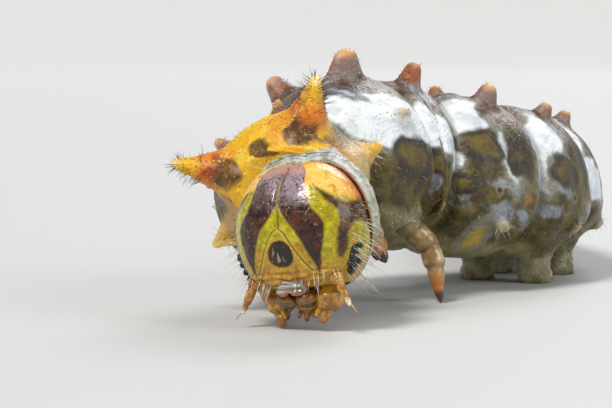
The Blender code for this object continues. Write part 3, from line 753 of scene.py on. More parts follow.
def placed(name, data):
    """A new object in the scene: a mesh, a lamp or a camera."""
    item = bpy.data.objects.new(name, data)
    bpy.context.scene.collection.objects.link(item)
    return item


def array_piece(name, points, faces, fields, bake, patch):
    """One mesh of many copies of a small shape, given the faces of one and its patch of the map for baking.

    The map keeps each copy at its root's place on the skin.
    """
    starts = (np.arange(len(bake)) * len(patch))[:, None, None]
    mesh = bpy.data.meshes.new(name)
    mesh.from_pydata(points.tolist(), [], (faces[None] + starts).reshape(-1, faces.shape[1]).tolist())
    piece = placed(name, mesh)
    store(piece, fields)
    layer = mesh.uv_layers.new(name="OFBake")
    corners = np.empty(len(mesh.loops), np.int32)
    mesh.loops.foreach_get("vertex_index", corners)
    spots = (bake[:, None] + patch).reshape(-1, 2)
    layer.data.foreach_set("uv", spots[corners].reshape(-1).astype(np.float32))
    mesh.shade_smooth()
    return piece


def make_hairs(name, roots, ways, lengths, thickness, droop, bake, tones):
    """Curved tapering hairs as one mesh. Tone 0 is a white hair and 1 a black one."""
    count, per = len(roots), HAIR_SIDES * len(HAIR_STEPS)
    side = unit(np.cross(ways, unit(RANDOM.normal(size=(count, 3)))))
    other = np.cross(ways, side)
    turn = np.linspace(0, 2 * math.pi, HAIR_SIDES, endpoint=False)
    bend = droop[:, None] * np.array((0.0, 0.0, -1.0)) + side * RANDOM.normal(0, 0.10, (count, 1))
    spine = roots[:, None] + ways[:, None] * (lengths[:, None] * HAIR_STEPS)[..., None]
    spine = spine + bend[:, None] * (lengths[:, None] * HAIR_STEPS**2)[..., None]
    ring = side[:, None] * np.cos(turn)[None, :, None] + other[:, None] * np.sin(turn)[None, :, None]
    size = (thickness[:, None] * HAIR_WIDTHS)[:, :, None, None]
    points = (spine[:, :, None] + ring[:, None] * size).reshape(-1, 3)
    points[:, 2] = np.maximum(points[:, 2], 0.002)
    rows, columns = np.meshgrid(np.arange(len(HAIR_STEPS) - 1), np.arange(HAIR_SIDES), indexing="ij")
    a = (rows * HAIR_SIDES + columns).reshape(-1)
    b = (rows * HAIR_SIDES + (columns + 1) % HAIR_SIDES).reshape(-1)
    quads = np.stack([a, b, b + HAIR_SIDES, a + HAIR_SIDES], 1)
    patch = np.stack(np.meshgrid(HAIR_STEPS, turn / 6.3, indexing="ij"), -1).reshape(per, 2) * 0.003
    fields = {"tone": np.repeat(tones, per), "down": np.tile(np.repeat(HAIR_STEPS, HAIR_SIDES), count)}
    return array_piece(name, points, quads, fields, bake, patch)


def make_beads(name, roots, ways, sizes, bake, tones):
    """Small round warts as one mesh, each a little taller than wide."""
    deselect()
    bpy.ops.mesh.primitive_uv_sphere_add(segments=7, ring_count=5, radius=1)
    bpy.ops.object.mode_set(mode="EDIT")
    bpy.ops.mesh.quads_convert_to_tris()
    bpy.ops.object.mode_set(mode="OBJECT")
    model = bpy.context.object
    shape = places_of(model)
    faces = np.array([list(f.vertices) for f in model.data.polygons])
    bpy.data.objects.remove(model)
    side = unit(np.cross(ways, (0.31, 0.52, 0.79)))
    axes = np.stack([side, np.cross(ways, side), ways * 1.25], 1)
    points = roots[:, None] + np.einsum("vk,nkj->nvj", shape, axes) * sizes[:, None, None]
    fields = {"tone": np.repeat(tones, len(shape))}
    return array_piece(name, points.reshape(-1, 3), faces, fields, bake, (shape[:, :2] + 1) * 0.0015)


# The head

# Sunk lines of the head: depth and half width
SUNK_LINES = (("cleft", 0.055, 0.05), ("cleft", 0.030, 0.016), ("seam", 0.014, 0.02), ("face", 0.006, 0.03))

# Half sizes of the upper lip
LIP = (0.35, 0.16, 0.075)

# Outlines of the head's marks on one side: degrees round it from the front, and height
FACE_EDGE = (
    (-4, 0.72), (0, 0.66), (2.5, 0.58), (7, 0.42), (14, 0.24), (21, 0.08), (26, -0.14), (32, -0.40),
    (40, -0.66),
)
FACE = FACE_EDGE + ((42, -0.84), (42, -1.2), (-4, -1.2))
DARK_BAND = (
    (-4, 1.6), (56, 1.6), (45, 1.17), (38, 0.92), (37, 0.68), (41, 0.47), (47, 0.31), (50.5, 0.15),
    (49, -0.12), (46, -0.42), (45.5, -0.66), (44, -0.84),
) + FACE_EDGE[::-1]
SIDE_BAND = (
    (48, 0.90), (57, 0.745), (64, 0.61), (73, 0.50), (80, 0.53), (93, 0.56), (112, 0.60), (150, 0.50),
    (150, -0.5), (112, -0.22), (97, 0.03), (86, 0.15), (79, 0.12), (73, 0.03), (71, -0.10), (69.5, -0.35),
    (66, -0.52), (61, -0.48), (59.5, -0.25), (61.5, 0.0), (65, 0.20), (64, 0.38), (57, 0.57),
    (51.5, 0.76),
)
FACE_SEAM = ((0, 0.15), (7.5, 0.05), (14.5, -0.15), (21.5, -0.38), (29, -0.58), (37, -0.74))
FACE_PLATE = FACE_SEAM + ((37, -0.9), (-5, -0.9), (-5, 0.2))

# Millimetres to a degree: for the outlines, at the spot on the face, and at the dot above the eyes
MM_PER_DEGREE = 0.0205
SPOT_SCALE = 0.0172
DOT_SCALE = 0.022

# The spot's degrees, height and radius, the eye patch and the places of its lenses, ahead and up
FACE_SPOT = (1.5, -0.35, 0.27)
EYE_PLACE = (1.23, -0.60)
EYE_LEAN = -0.24
LENSES = ((0.09, 0.23), (0.11, 0.07), (0.07, -0.09), (0.0, -0.22), (-0.11, -0.26), (-0.10, 0.06))


def to_line(x, y, corners):
    """Distance from each place to a bent line."""
    best = np.full(x.shape, 9.0)
    for (ax, ay), (bx, by) in zip(corners, corners[1:]):
        dx, dy = bx - ax, by - ay
        t = np.clip(((x - ax) * dx + (y - ay) * dy) / max(dx * dx + dy * dy, 1e-9), 0, 1)
        best = np.minimum(best, np.hypot(x - ax - t * dx, y - ay - t * dy))
    return best


def outline_field(x, y, corners):
    """How far inside an outline each place lies, in millimetres; negative outside."""
    ring = list(corners) + [corners[0]]
    inside = np.zeros(x.shape, bool)
    for (ax, ay), (bx, by) in zip(ring, ring[1:]):
        if ay != by:
            crosses = (ay > y) != (by > y)
            inside ^= crosses & (x < (bx - ax) * (y - ay) / (by - ay) + ax)
    return np.clip(np.where(inside, 1, -1) * to_line(x, y, ring), -0.5, 0.5)


def on_face(corners):
    """Marks drawn in degrees and height, as millimetres over the curved face."""
    return [(x * MM_PER_DEGREE, y) for x, y in corners]


def make_head():
    """The horny head capsule, with its cleft, seams and face plate, and the ground of its hairs."""
    piece, ways = ball("head_shell", 300, 200)
    level = ways[:, 1]
    lobes = [lobe_reach(ways, LOBE_OFFSET * side, LOBE_SIZE) for side in (1, -1)]
    floor = np.where(level < -1e-3, MOUTH_LEVEL / np.minimum(level, -1e-3), 99)
    reach = -smooth_max(-smooth_max(*lobes, 0.02), -floor, 0.05)
    places = ways * reach[:, None]
    across, high, ahead = places.T
    turn = np.degrees(np.arctan2(across, ahead))
    x, y = np.abs(turn) * MM_PER_DEGREE, high
    seam = to_line(x, y, on_face(FACE_SEAM))
    cleft = np.where((high > 0.15) | (ahead < 0), np.abs(across), 9.0)
    plate = outline_field(x, y, on_face(FACE_PLATE))
    spot_x, spot_y = (turn - FACE_SPOT[0]) * SPOT_SCALE, high - FACE_SPOT[1]

    lines = {"cleft": cleft, "seam": seam, "face": to_line(x, y, on_face(FACE[1:10]))}
    depth = 0.014 * ease(plate, 0.0, 0.08)
    depth -= sum(deep * bump(lines[word], half) for word, deep, half in SUNK_LINES)
    depth += 0.022 * bump(np.maximum(np.hypot(spot_x, spot_y) - 0.1, 0), 0.13)
    depth += 0.004 * wrinkle(places, 0.22, 21) + 0.0022 * wrinkle(places, 0.09, 22)
    folds = 0.022 * wrinkle(places * (1, 2.2, 1), 0.25, 24)
    folds += 0.020 * np.sin(high * 62 + 0.6 * np.sin(turn * 0.12))
    swell = 0.03 * bump(high + 0.86, 0.09) + 0.03 * bump(turn, 26)
    depth += (folds + swell) * ease(-high, 0.62, 0.80) * ease(60 - np.abs(turn), 0, 14)
    places = places + ways * depth[:, None]
    move_points(piece, head_place(places))

    spot_x /= 1 - 0.7 * np.clip(spot_y, -0.35, 0.35)
    eye_turn = math.degrees(math.atan2(EYE_PLACE[0], 0.30))
    fields = {
        "dark": outline_field(x, y, on_face(DARK_BAND)),
        "side": outline_field(x, y, on_face(SIDE_BAND)),
        "face": outline_field(x, y, on_face(FACE)),
        "spot": FACE_SPOT[2] - (np.abs(spot_x) ** 2.2 + np.abs(spot_y) ** 2.2) ** (1 / 2.2),
        "seam": np.minimum(seam, cleft + np.where(ahead < -0.2, 0.3, 0)),
        "high": high,
        "turn": np.abs(turn),
        "dot": 0.055 - np.hypot((np.abs(turn) - eye_turn) * DOT_SCALE, high + 0.24),
    }
    store(piece, fields)
    close_up(piece, 1e-4)
    unwrap = np.stack([turn / 360 + 0.5, (high + 1.4) / 2.8], 1)
    area = np.sqrt(np.clip(1 - level**2, 0.0, 1))
    fields |= {"side_of": np.sign(across)}
    return piece, Ground(head_place(places), ways @ HEAD_AXES, unwrap, area, fields)


def face_depth(across, high):
    """How far the front of the nearer lobe stands forward at this place on the face."""
    side = (abs(across) - LOBE_OFFSET) / LOBE_SIZE[0]
    return LOBE_SIZE[2] * math.sqrt(max(1 - side * side - (high / LOBE_SIZE[1]) ** 2, 0.0))


def lump(name, side, centre, size, segments=40, rings=28, tilt=0.0, shape=None):
    """A rounded piece of the mouth in the head's frame. shape may change its points, given in its own."""
    piece, ways = ball(name, segments, rings)
    places = ways * np.array(size)
    if shape:
        places = shape(places, ways)
    c, n = math.cos(tilt * side), math.sin(tilt * side)
    x, y, z = places.T
    places = np.stack([x * c - y * n, x * n + y * c, z], 1)
    across, high, ahead = centre
    move_points(piece, head_place(places + np.array((side * across, high, ahead))))
    store(piece, {"down": (1 - ways[:, 1]) / 2})
    close_up(piece, 1e-4)
    return piece


def make_labrum():
    """The notched upper lip, a glassy plate with folds across it."""
    def shape(places, ways):
        x, y = (np.sign(places[:, :2]) * (np.abs(places[:, :2]) / LIP[:2]) ** 0.55 * LIP[:2]).T
        notch = 0.075 * bump(x, 0.06) * ease(-ways[:, 1], 0.0, 0.7)
        ahead = places[:, 2] - 0.10 * (x / LIP[0]) ** 2
        ahead += (0.014 * np.sin(y * 62) + 0.006 * np.sin(x * 50)) * (ways[:, 2] > 0)
        return np.stack([x, y + notch, ahead], 1)
    return lump("upper_lip", 1, (0.0, -1.05, 0.77), LIP, 72, 48, shape=shape)


def make_mandible(word, side):
    """A jaw with blunt teeth along its lower edge."""
    def shape(places, ways):
        teeth = 0.022 * np.abs(np.sin(places[:, 0] * 26 + 0.6)) * ease(-ways[:, 1], 0.1, 0.7)
        thin = 1 - 0.45 * ease(-ways[:, 1], 0.0, 0.9)
        return np.stack([places[:, 0], places[:, 1] + teeth, places[:, 2] * thin], 1)
    centre, size = (0.21, -1.29, 0.50), (0.22, 0.19, 0.22)
    return lump("jaw_" + word, side, centre, size, 48, 32, tilt=0.15, shape=shape)


def head_limb(name, side, ends, radii, joints, rows=44, sides=24):
    """A jointed feeler between two places in the head's frame."""
    root, tip = [np.array((side * a, h, f)) for a, h, f in ends]
    path = root + (tip - root) * np.linspace(0, 1, len(radii))[:, None]
    return make_limb(name, head_place(path), radii, rows, sides, joints, 0.22)


def make_maxilla(word, side):
    """A lower jaw lobe with its ringed feeler and a small peg."""
    def shape(places, ways):
        ring = 1 + 0.05 * np.sin(ways[:, 1] * 9)
        return places * np.stack([ring, np.ones(len(ring)), ring], 1)
    base = lump("lobe", side, (0.55, -1.31, 0.20), (0.29, 0.31, 0.32), 44, 30, shape=shape)
    ends = (0.55, -1.50, 0.27), (0.44, -1.80, 0.39)
    palp = head_limb("palp", side, ends, (0.135, 0.13, 0.105, 0.095, 0.07, 0.05), (0.30, 0.58, 0.80))
    ends = (0.40, -1.50, 0.36), (0.33, -1.68, 0.46)
    peg = head_limb("peg", side, ends, (0.08, 0.07, 0.045, 0.03), (0.5,))
    return join("lower_jaw_" + word, [base, palp, peg])


def make_labium():
    """The lower lip with its spinneret and a pair of tiny feelers."""
    pieces = [lump("lip", 1, (0.0, -1.36, 0.03), (0.30, 0.27, 0.26), 44, 30)]
    ends = (0.0, -1.50, 0.10), (0.0, -1.75, 0.22)
    pieces.append(head_limb("spinneret", 1, ends, (0.13, 0.10, 0.06, 0.035), (0.4,)))
    ends = (0.14, -1.52, 0.14), (0.17, -1.68, 0.22)
    pieces += [head_limb("feeler", side, ends, (0.05, 0.04, 0.02), (0.5,)) for side in (1, -1)]
    return join("lower_lip", pieces)


def make_antenna(word, side):
    """A feeler of three joints with a soft socket and a bristle."""
    across, high = 0.90, -0.86
    start = np.array((across, high, face_depth(across, high) - 0.06))
    way = unit(np.array((0.45, -0.86, 0.15)))
    tip = start + way * 0.72
    radii = (0.140, 0.125, 0.098, 0.094, 0.086, 0.062, 0.056, 0.030)
    stem = head_limb("stem", side, (start, tip), radii, (0.22, 0.30, 0.74, 0.90), 60, 28)
    ends = tip - way * 0.05 + np.array((0.03, 0, 0)), tip + way * 0.16 + np.array((0.10, 0, 0.03))
    spike = head_limb("spike", side, ends, (0.014, 0.012, 0.008, 0.003), (), 10, 8)
    return join("feeler_" + word, [stem, spike])


def eye_frame(side):
    """The middle of the eye patch on the head, with unit vectors forward, up and outward."""
    across, high = EYE_PLACE
    ahead = face_depth(across, high)
    outward = unit(np.array((side * (across - LOBE_OFFSET), high, ahead)) / LOBE_SIZE**2)
    forward = unit(np.array((0, 0, 1.0)) - outward * outward[2])
    upward = np.cross(outward, forward) * side
    c, n = math.cos(EYE_LEAN), math.sin(EYE_LEAN)
    centre = np.array((side * across, high, ahead))
    return centre, forward * c - upward * n, upward * c + forward * n, outward


def make_eye(word, side):
    """Six small domed eyes on a dark patch of the cheek."""
    centre, forward, upward, outward = eye_frame(side)
    axes = np.stack([forward, upward, outward])
    pad, ways = ball("pad", 40, 24)
    move_points(pad, head_place(centre + (ways * (0.13, 0.31, 0.05)) @ axes))
    pieces = [pad]
    for x, y in LENSES:
        lens, ways = ball("lens", 28, 18)
        middle = centre + np.array((x, y, 0.022)) @ axes
        move_points(lens, head_place(middle + ways @ axes * 0.066))
        pieces.append(lens)
    for piece in pieces:
        close_up(piece, 1e-4)
    return join("eyes_" + word, pieces)


def make_leg(name, number, side, knee, foot):
    """A leg of the thorax in four joints with a hooked claw."""
    hip, _ = leg_root(number, side, knee)
    knee, foot = np.array(knee), np.array(foot)
    points = [hip + (knee - hip) * share for share in (0, 0.5, 0.95)]
    points += [knee + (foot - knee) * share for share in (0.25, 0.55, 0.80)]
    return make_limb(name + "_shape", points + [foot], LEG_RADII, 96, 32, LEG_JOINTS, 0.11)


# Finishes

class Wire:
    """A socket whose sums add Math nodes to its finish."""

    def __init__(self, finish, socket):
        self.finish = finish
        self.socket = socket

    def __add__(self, other):
        return self.finish.math("ADD", self, other)

    def __sub__(self, other):
        return self.finish.math("SUBTRACT", self, other)

    def __rsub__(self, other):
        return self.finish.math("SUBTRACT", other, self)

    def __mul__(self, other):
        return self.finish.math("MULTIPLY", self, other)

    __radd__ = __add__
    __rmul__ = __mul__


class Finish:
    """One material. Numbers given at the start are the same all over: how much light goes into it, how
    many millimetres deep, and the shader's own. Layers of colour are laid over the first one, and paint()
    joins what varies to the shader.
    """

    def __init__(self, name, soft=0.0, soft_depth=50.0, **constants):
        self.material = bpy.data.materials.new(name)
        self.material.use_nodes = True
        self.tree = self.material.node_tree
        self.shader = self.tree.nodes["Principled BSDF"]
        constants |= {"Subsurface_Weight": soft, "Subsurface_Scale": soft_depth * MM}
        for word, value in constants.items():
            self.shader.inputs[word.replace("_", " ")].default_value = value

    def node(self, kind, settings=None, links=None, out=0):
        """Adds a node, sets its settings, then its sockets' values or links, and returns an output."""
        node = self.tree.nodes.new("ShaderNode" + kind)
        for word, value in (settings or {}).items():
            setattr(node, word, value)
        for word, value in (links or {}).items():
            if isinstance(value, Wire):
                self.tree.links.new(value.socket, node.inputs[word])
            else:
                node.inputs[word].default_value = value
        return Wire(self, node.outputs[out])

    def math(self, operation, a, b=0.0):
        """The result of one Math node."""
        return self.node("Math", {"operation": operation}, {0: a, 1: b})

    def field(self, word):
        """A number kept on the piece's points."""
        return self.node("Attribute", {"attribute_name": word}, out="Fac")

    def noise(self, size, detail=3.0, rough=0.55, stretch=None):
        """Clouds about 0.5, with features of this size in millimetres."""
        links = {"Vector": self.where(stretch), "Scale": 1 / (size * MM)}
        return self.node("TexNoise", {}, links | {"Detail": detail, "Roughness": rough}, out="Fac")

    def cells(self, size):
        """Distance to the nearest of many scattered points, as a share of their spacing in millimetres."""
        return self.node("TexVoronoi", {}, {"Vector": self.where(), "Scale": 1 / (size * MM)})

    def where(self, stretch=None):
        """Places on the piece, which may be stretched to draw a pattern out."""
        places = self.node("TexCoord", out="Object")
        if stretch:
            places = self.node("VectorMath", {"operation": "MULTIPLY"}, {0: places, 1: stretch})
        return places

    def step(self, value, low, high):
        """0 below low and 1 above high, with a soft edge between."""
        links = {"Value": value, "From Min": low, "From Max": high}
        return self.node("MapRange", {"interpolation_type": "SMOOTHSTEP"}, links)

    def mix(self, share, a, b, blend="MIX"):
        """Colour a, going to colour b as the share goes from 0 to 1."""
        a, b = [c if isinstance(c, Wire) else (*c, 1.0) for c in (a, b)]
        return self.node("Mix", {"data_type": "RGBA", "blend_type": blend}, {0: share, 6: a, 7: b}, out=2)

    def lay(self, share, over):
        """Lays another colour over the finish, as thick as the share."""
        self.colour = self.mix(share, self.colour, over)

    def paint(self, rough, relief, depth, strength):
        """Joins the colour, the roughness and the fine relief, its depth in millimetres, to the shader."""
        normal = self.node("Bump", {}, {"Strength": strength, "Distance": depth * MM, "Height": relief})
        for word, wire in (("Base Color", self.colour), ("Roughness", rough), ("Normal", normal)):
            self.tree.links.new(wire.socket, self.shader.inputs[word])
        return self.material


CHOCOLATE = (0.018, 0.005, 0.002)
RED_BROWN = (0.072, 0.019, 0.003)
UMBER = (0.075, 0.042, 0.020)
OLIVE = (0.120, 0.088, 0.010)
DARK_OLIVE = (0.038, 0.027, 0.005)
SLATE = (0.170, 0.185, 0.215)
MAUVE = (0.240, 0.180, 0.175)
CHALK = (0.78, 0.82, 0.84)
LIME = (0.520, 0.450, 0.003)
EGG_YELLOW = (0.780, 0.430, 0.006)
PALE_YELLOW = (0.840, 0.600, 0.060)
CREAM = (0.860, 0.560, 0.130)
ORANGE = (0.720, 0.210, 0.006)
AMBER = (0.520, 0.260, 0.018)
DEEP_AMBER = (0.250, 0.095, 0.008)
PEACH = (0.640, 0.345, 0.150)


def skin_finish():
    """Soft moist skin: bird-dropping brown and chalky white, with yellow, spotted shoulders."""
    f = Finish("larva skin", soft=0.10, soft_depth=0.3, Coat_Weight=0.07, Coat_Roughness=0.25,
               Specular_IOR_Level=0.40)
    cloud, mottle, grain = f.noise(0.9, 4), f.noise(0.34, 3), f.noise(0.10, 2)
    fray = (cloud - 0.5) * 0.26 + (mottle - 0.5) * 0.20 + (grain - 0.5) * 0.07
    speckled = partial(f.mix, f.step(mottle + (grain - 0.5) * 0.4, 0.32, 0.70))
    place, raised, lowered = f.field("place"), f.field("raised"), f.field("lowered")
    turn = f.field("turn")
    shoulder = 1 - f.step(place + fray * 0.2, 1.38, 1.58)

    # brown and olive ground, greyer on the back and paler below
    f.colour = speckled(DARK_OLIVE, OLIVE)
    f.lay(f.step(cloud, 0.50, 0.64) * 0.35, (0.24, 0.18, 0.07))
    f.lay(f.step(f.field("back") + fray, 0.35, 0.85) * 0.8, speckled(UMBER, MAUVE))
    belly = speckled((0.22, 0.18, 0.06), (0.36, 0.32, 0.16))
    f.lay(f.step(f.field("belly") + fray * 0.5, 0.1, 0.9), belly)

    # slate bars, chalky saddles with a grey halo, bluish bars of painted shade with a darker painted rim,
    # and ringed olive spots
    grey = f.step(f.field("grey") + fray, -0.06, 0.08)
    f.lay(grey * 0.85, speckled(SLATE, (0.32, 0.35, 0.38)))
    white_field = f.field("white") + fray
    f.lay(f.step(white_field, -0.24, 0.0) * 0.5, (0.30, 0.32, 0.28))
    white = f.step(white_field, -0.04, 0.10)
    f.lay(white, f.mix(f.step(mottle, 0.30, 0.60), (0.56, 0.60, 0.64), CHALK))
    # painted shade: the bluish grey bars, with a darker painted rim round them
    bluish_shade = f.field("bluish_shade") + fray * 0.6
    f.lay(f.step(bluish_shade, -0.10, 0.02) * 0.8, (0.10, 0.085, 0.085))
    f.lay(f.step(bluish_shade, 0.0, 0.10), speckled((0.24, 0.26, 0.34), (0.40, 0.43, 0.52)))
    olive_field = f.field("olive") + fray * 0.55
    rim = speckled((0.028, 0.020, 0.014), (0.060, 0.042, 0.020))
    f.lay(f.step(olive_field, -0.12, 0.02), rim)
    f.lay(f.step(olive_field, 0.08, 0.22), speckled((0.080, 0.056, 0.006), (0.150, 0.105, 0.012)))

    # yellow shoulders with warm flanks, and painted olive-brown shadow between the horns' feet and the side
    # warts
    flank = f.mix(f.step(cloud + (mottle - 0.5) * 0.5, 0.34, 0.54), (0.26, 0.18, 0.04), (0.60, 0.31, 0.075))
    f.lay(shoulder * f.step(turn + fray * 30, 52, 66) * 0.85, flank)
    f.lay(f.step(f.field("pale") + fray, -0.06, 0.12) * 0.55, (0.52, 0.42, 0.20))
    # painted shadow, olive brown, beside the horn's foot and the side wart
    painted_shade = speckled((0.075, 0.052, 0.010), (0.17, 0.125, 0.030))
    f.lay(f.step(f.field("painted_shade") + fray, -0.06, 0.10) * 0.85, painted_shade)
    f.lay(shoulder * f.step(turn + fray * 30, 118, 134) * 0.7, (0.34, 0.26, 0.11))
    sun = f.mix(f.step(mottle, 0.46, 0.66), EGG_YELLOW, PALE_YELLOW)
    sun = f.mix(f.step(cloud, 0.46, 0.60) * 0.75, sun, (0.70, 0.28, 0.008))
    f.lay(f.step(f.field("yellow") + fray * 0.8, -0.02, 0.08), sun)
    patch = speckled((0.36, 0.22, 0.010), (0.52, 0.38, 0.06))
    patch_field = f.field("patch") + fray * 0.3
    f.lay(f.step(patch_field, -0.16, -0.06) * 0.6, (0.26, 0.27, 0.23))
    f.lay(f.step(patch_field, -0.02, 0.10), patch)

    # horns: brick foot, orange middle, yellow towards a pale tip
    horn = f.mix(f.step(mottle, 0.36, 0.62), (0.36, 0.060, 0.006), ORANGE)
    horn = f.mix(f.step(raised + fray * 0.5, 0.46, 0.70), horn, EGG_YELLOW)
    horn = f.mix(f.step(turn, 76, 86) * 0.75, horn, speckled((0.62, 0.38, 0.03), (0.80, 0.64, 0.26)))
    horn = f.mix(f.step(raised + fray * 0.2, 0.80, 0.97), horn, (0.90, 0.68, 0.22))
    f.lay(f.step(raised + fray * 0.6, 0.12, 0.34) * shoulder, horn)

    # other tubercles: mauve and brick below, peach above, and near the floor pale and plain
    wart = f.mix(f.step(mottle, 0.38, 0.62), (0.25, 0.13, 0.085), MAUVE)
    brick = 1 - f.step(f.math("ABSOLUTE", place - 4.0), 0.35, 0.55)
    wart = f.mix(f.step(f.noise(0.5, 2) + brick * 0.2, 0.56, 0.66) * 0.8, wart, (0.34, 0.080, 0.010))
    wart = f.mix(f.step(raised + fray * 0.7 - brick * 0.15, 0.60, 0.88), wart, PEACH)
    upper = (1 - f.step(turn, 46, 58)) * (1 - shoulder)
    f.lay(f.step(raised + fray * 0.6, 0.26, 0.46) * upper, wart)
    plain = f.step(raised + fray * 0.4, 0.45, 0.80) * f.step(turn, 58, 66) * (1 - shoulder)
    f.lay(plain * 0.7, speckled((0.36, 0.22, 0.06), (0.62, 0.55, 0.36)))

    # brown spots between the horns, orange dots, legs' pallor, folds, pores and breathing holes
    off_horns = 1 - f.step(raised + fray * 0.5, 0.22, 0.40)
    brown = f.mix(f.step(grain + mottle * 0.6, 0.74, 0.94), (0.060, 0.022, 0.006), (0.17, 0.070, 0.012))
    f.lay(f.step(f.field("brown") + fray * 0.42, -0.05, 0.07) * off_horns * 0.94, brown)
    f.lay(f.step(f.field("pink") + fray * 0.3, -0.04, 0.07) * 0.65, (0.52, 0.32, 0.22))
    f.lay(f.step(f.field("orange") + fray * 0.3, -0.05, 0.08) * 0.75, (0.36, 0.15, 0.015))
    feet = speckled((0.20, 0.16, 0.07), (0.42, 0.39, 0.27))
    f.lay(f.step(lowered + fray, 0.10, 0.6) * 0.75, feet)
    f.lay(f.step(f.field("joint"), 0.3, 1.0) * 0.5, (0.045, 0.034, 0.018))
    air_hole = f.field("air_hole")
    f.lay(f.step(air_hole, -0.06, -0.02) * 0.5, (0.26, 0.20, 0.10))
    f.lay(f.step(air_hole, -0.005, 0.02), (0.016, 0.008, 0.005))
    pores = f.cells(0.13)
    f.lay(1 - f.step(pores, 0.12, 0.26), f.mix(0.5, f.colour, (0.95, 0.9, 0.7), "SOFT_LIGHT"))

    # the clear collar, with a thin rust line along its lip
    folds = f.noise(0.22, 4, 0.65)
    lines = f.math("SINE", f.field("line") * 2.6 + folds * 8.0)
    film = f.mix(f.step(folds + lines * 0.05, 0.32, 0.62), (0.26, 0.265, 0.20), (0.62, 0.65, 0.65))
    film = f.mix(f.step(turn, 50, 105) * 0.5, film, (0.30, 0.29, 0.14))
    ochre = f.mix(f.step(turn, 20, 60), (0.40, 0.25, 0.030), (0.25, 0.080, 0.010))
    film = f.mix(f.step(f.field("rim"), 0.25, 0.8), film, ochre)
    f.lay(f.step(f.field("neck"), 0.02, 0.30), film)

    relief = f.noise(0.15, 4) * 0.9 + (1 - f.step(pores, 0.0, 0.4)) * 0.5 + f.noise(0.045, 2) * 0.25
    relief = relief + lines * f.field("neck") * 0.16
    rough = 0.40 + (mottle - 0.5) * 0.3 + white * 0.12
    return f.paint(rough, relief, 0.045, 0.9)


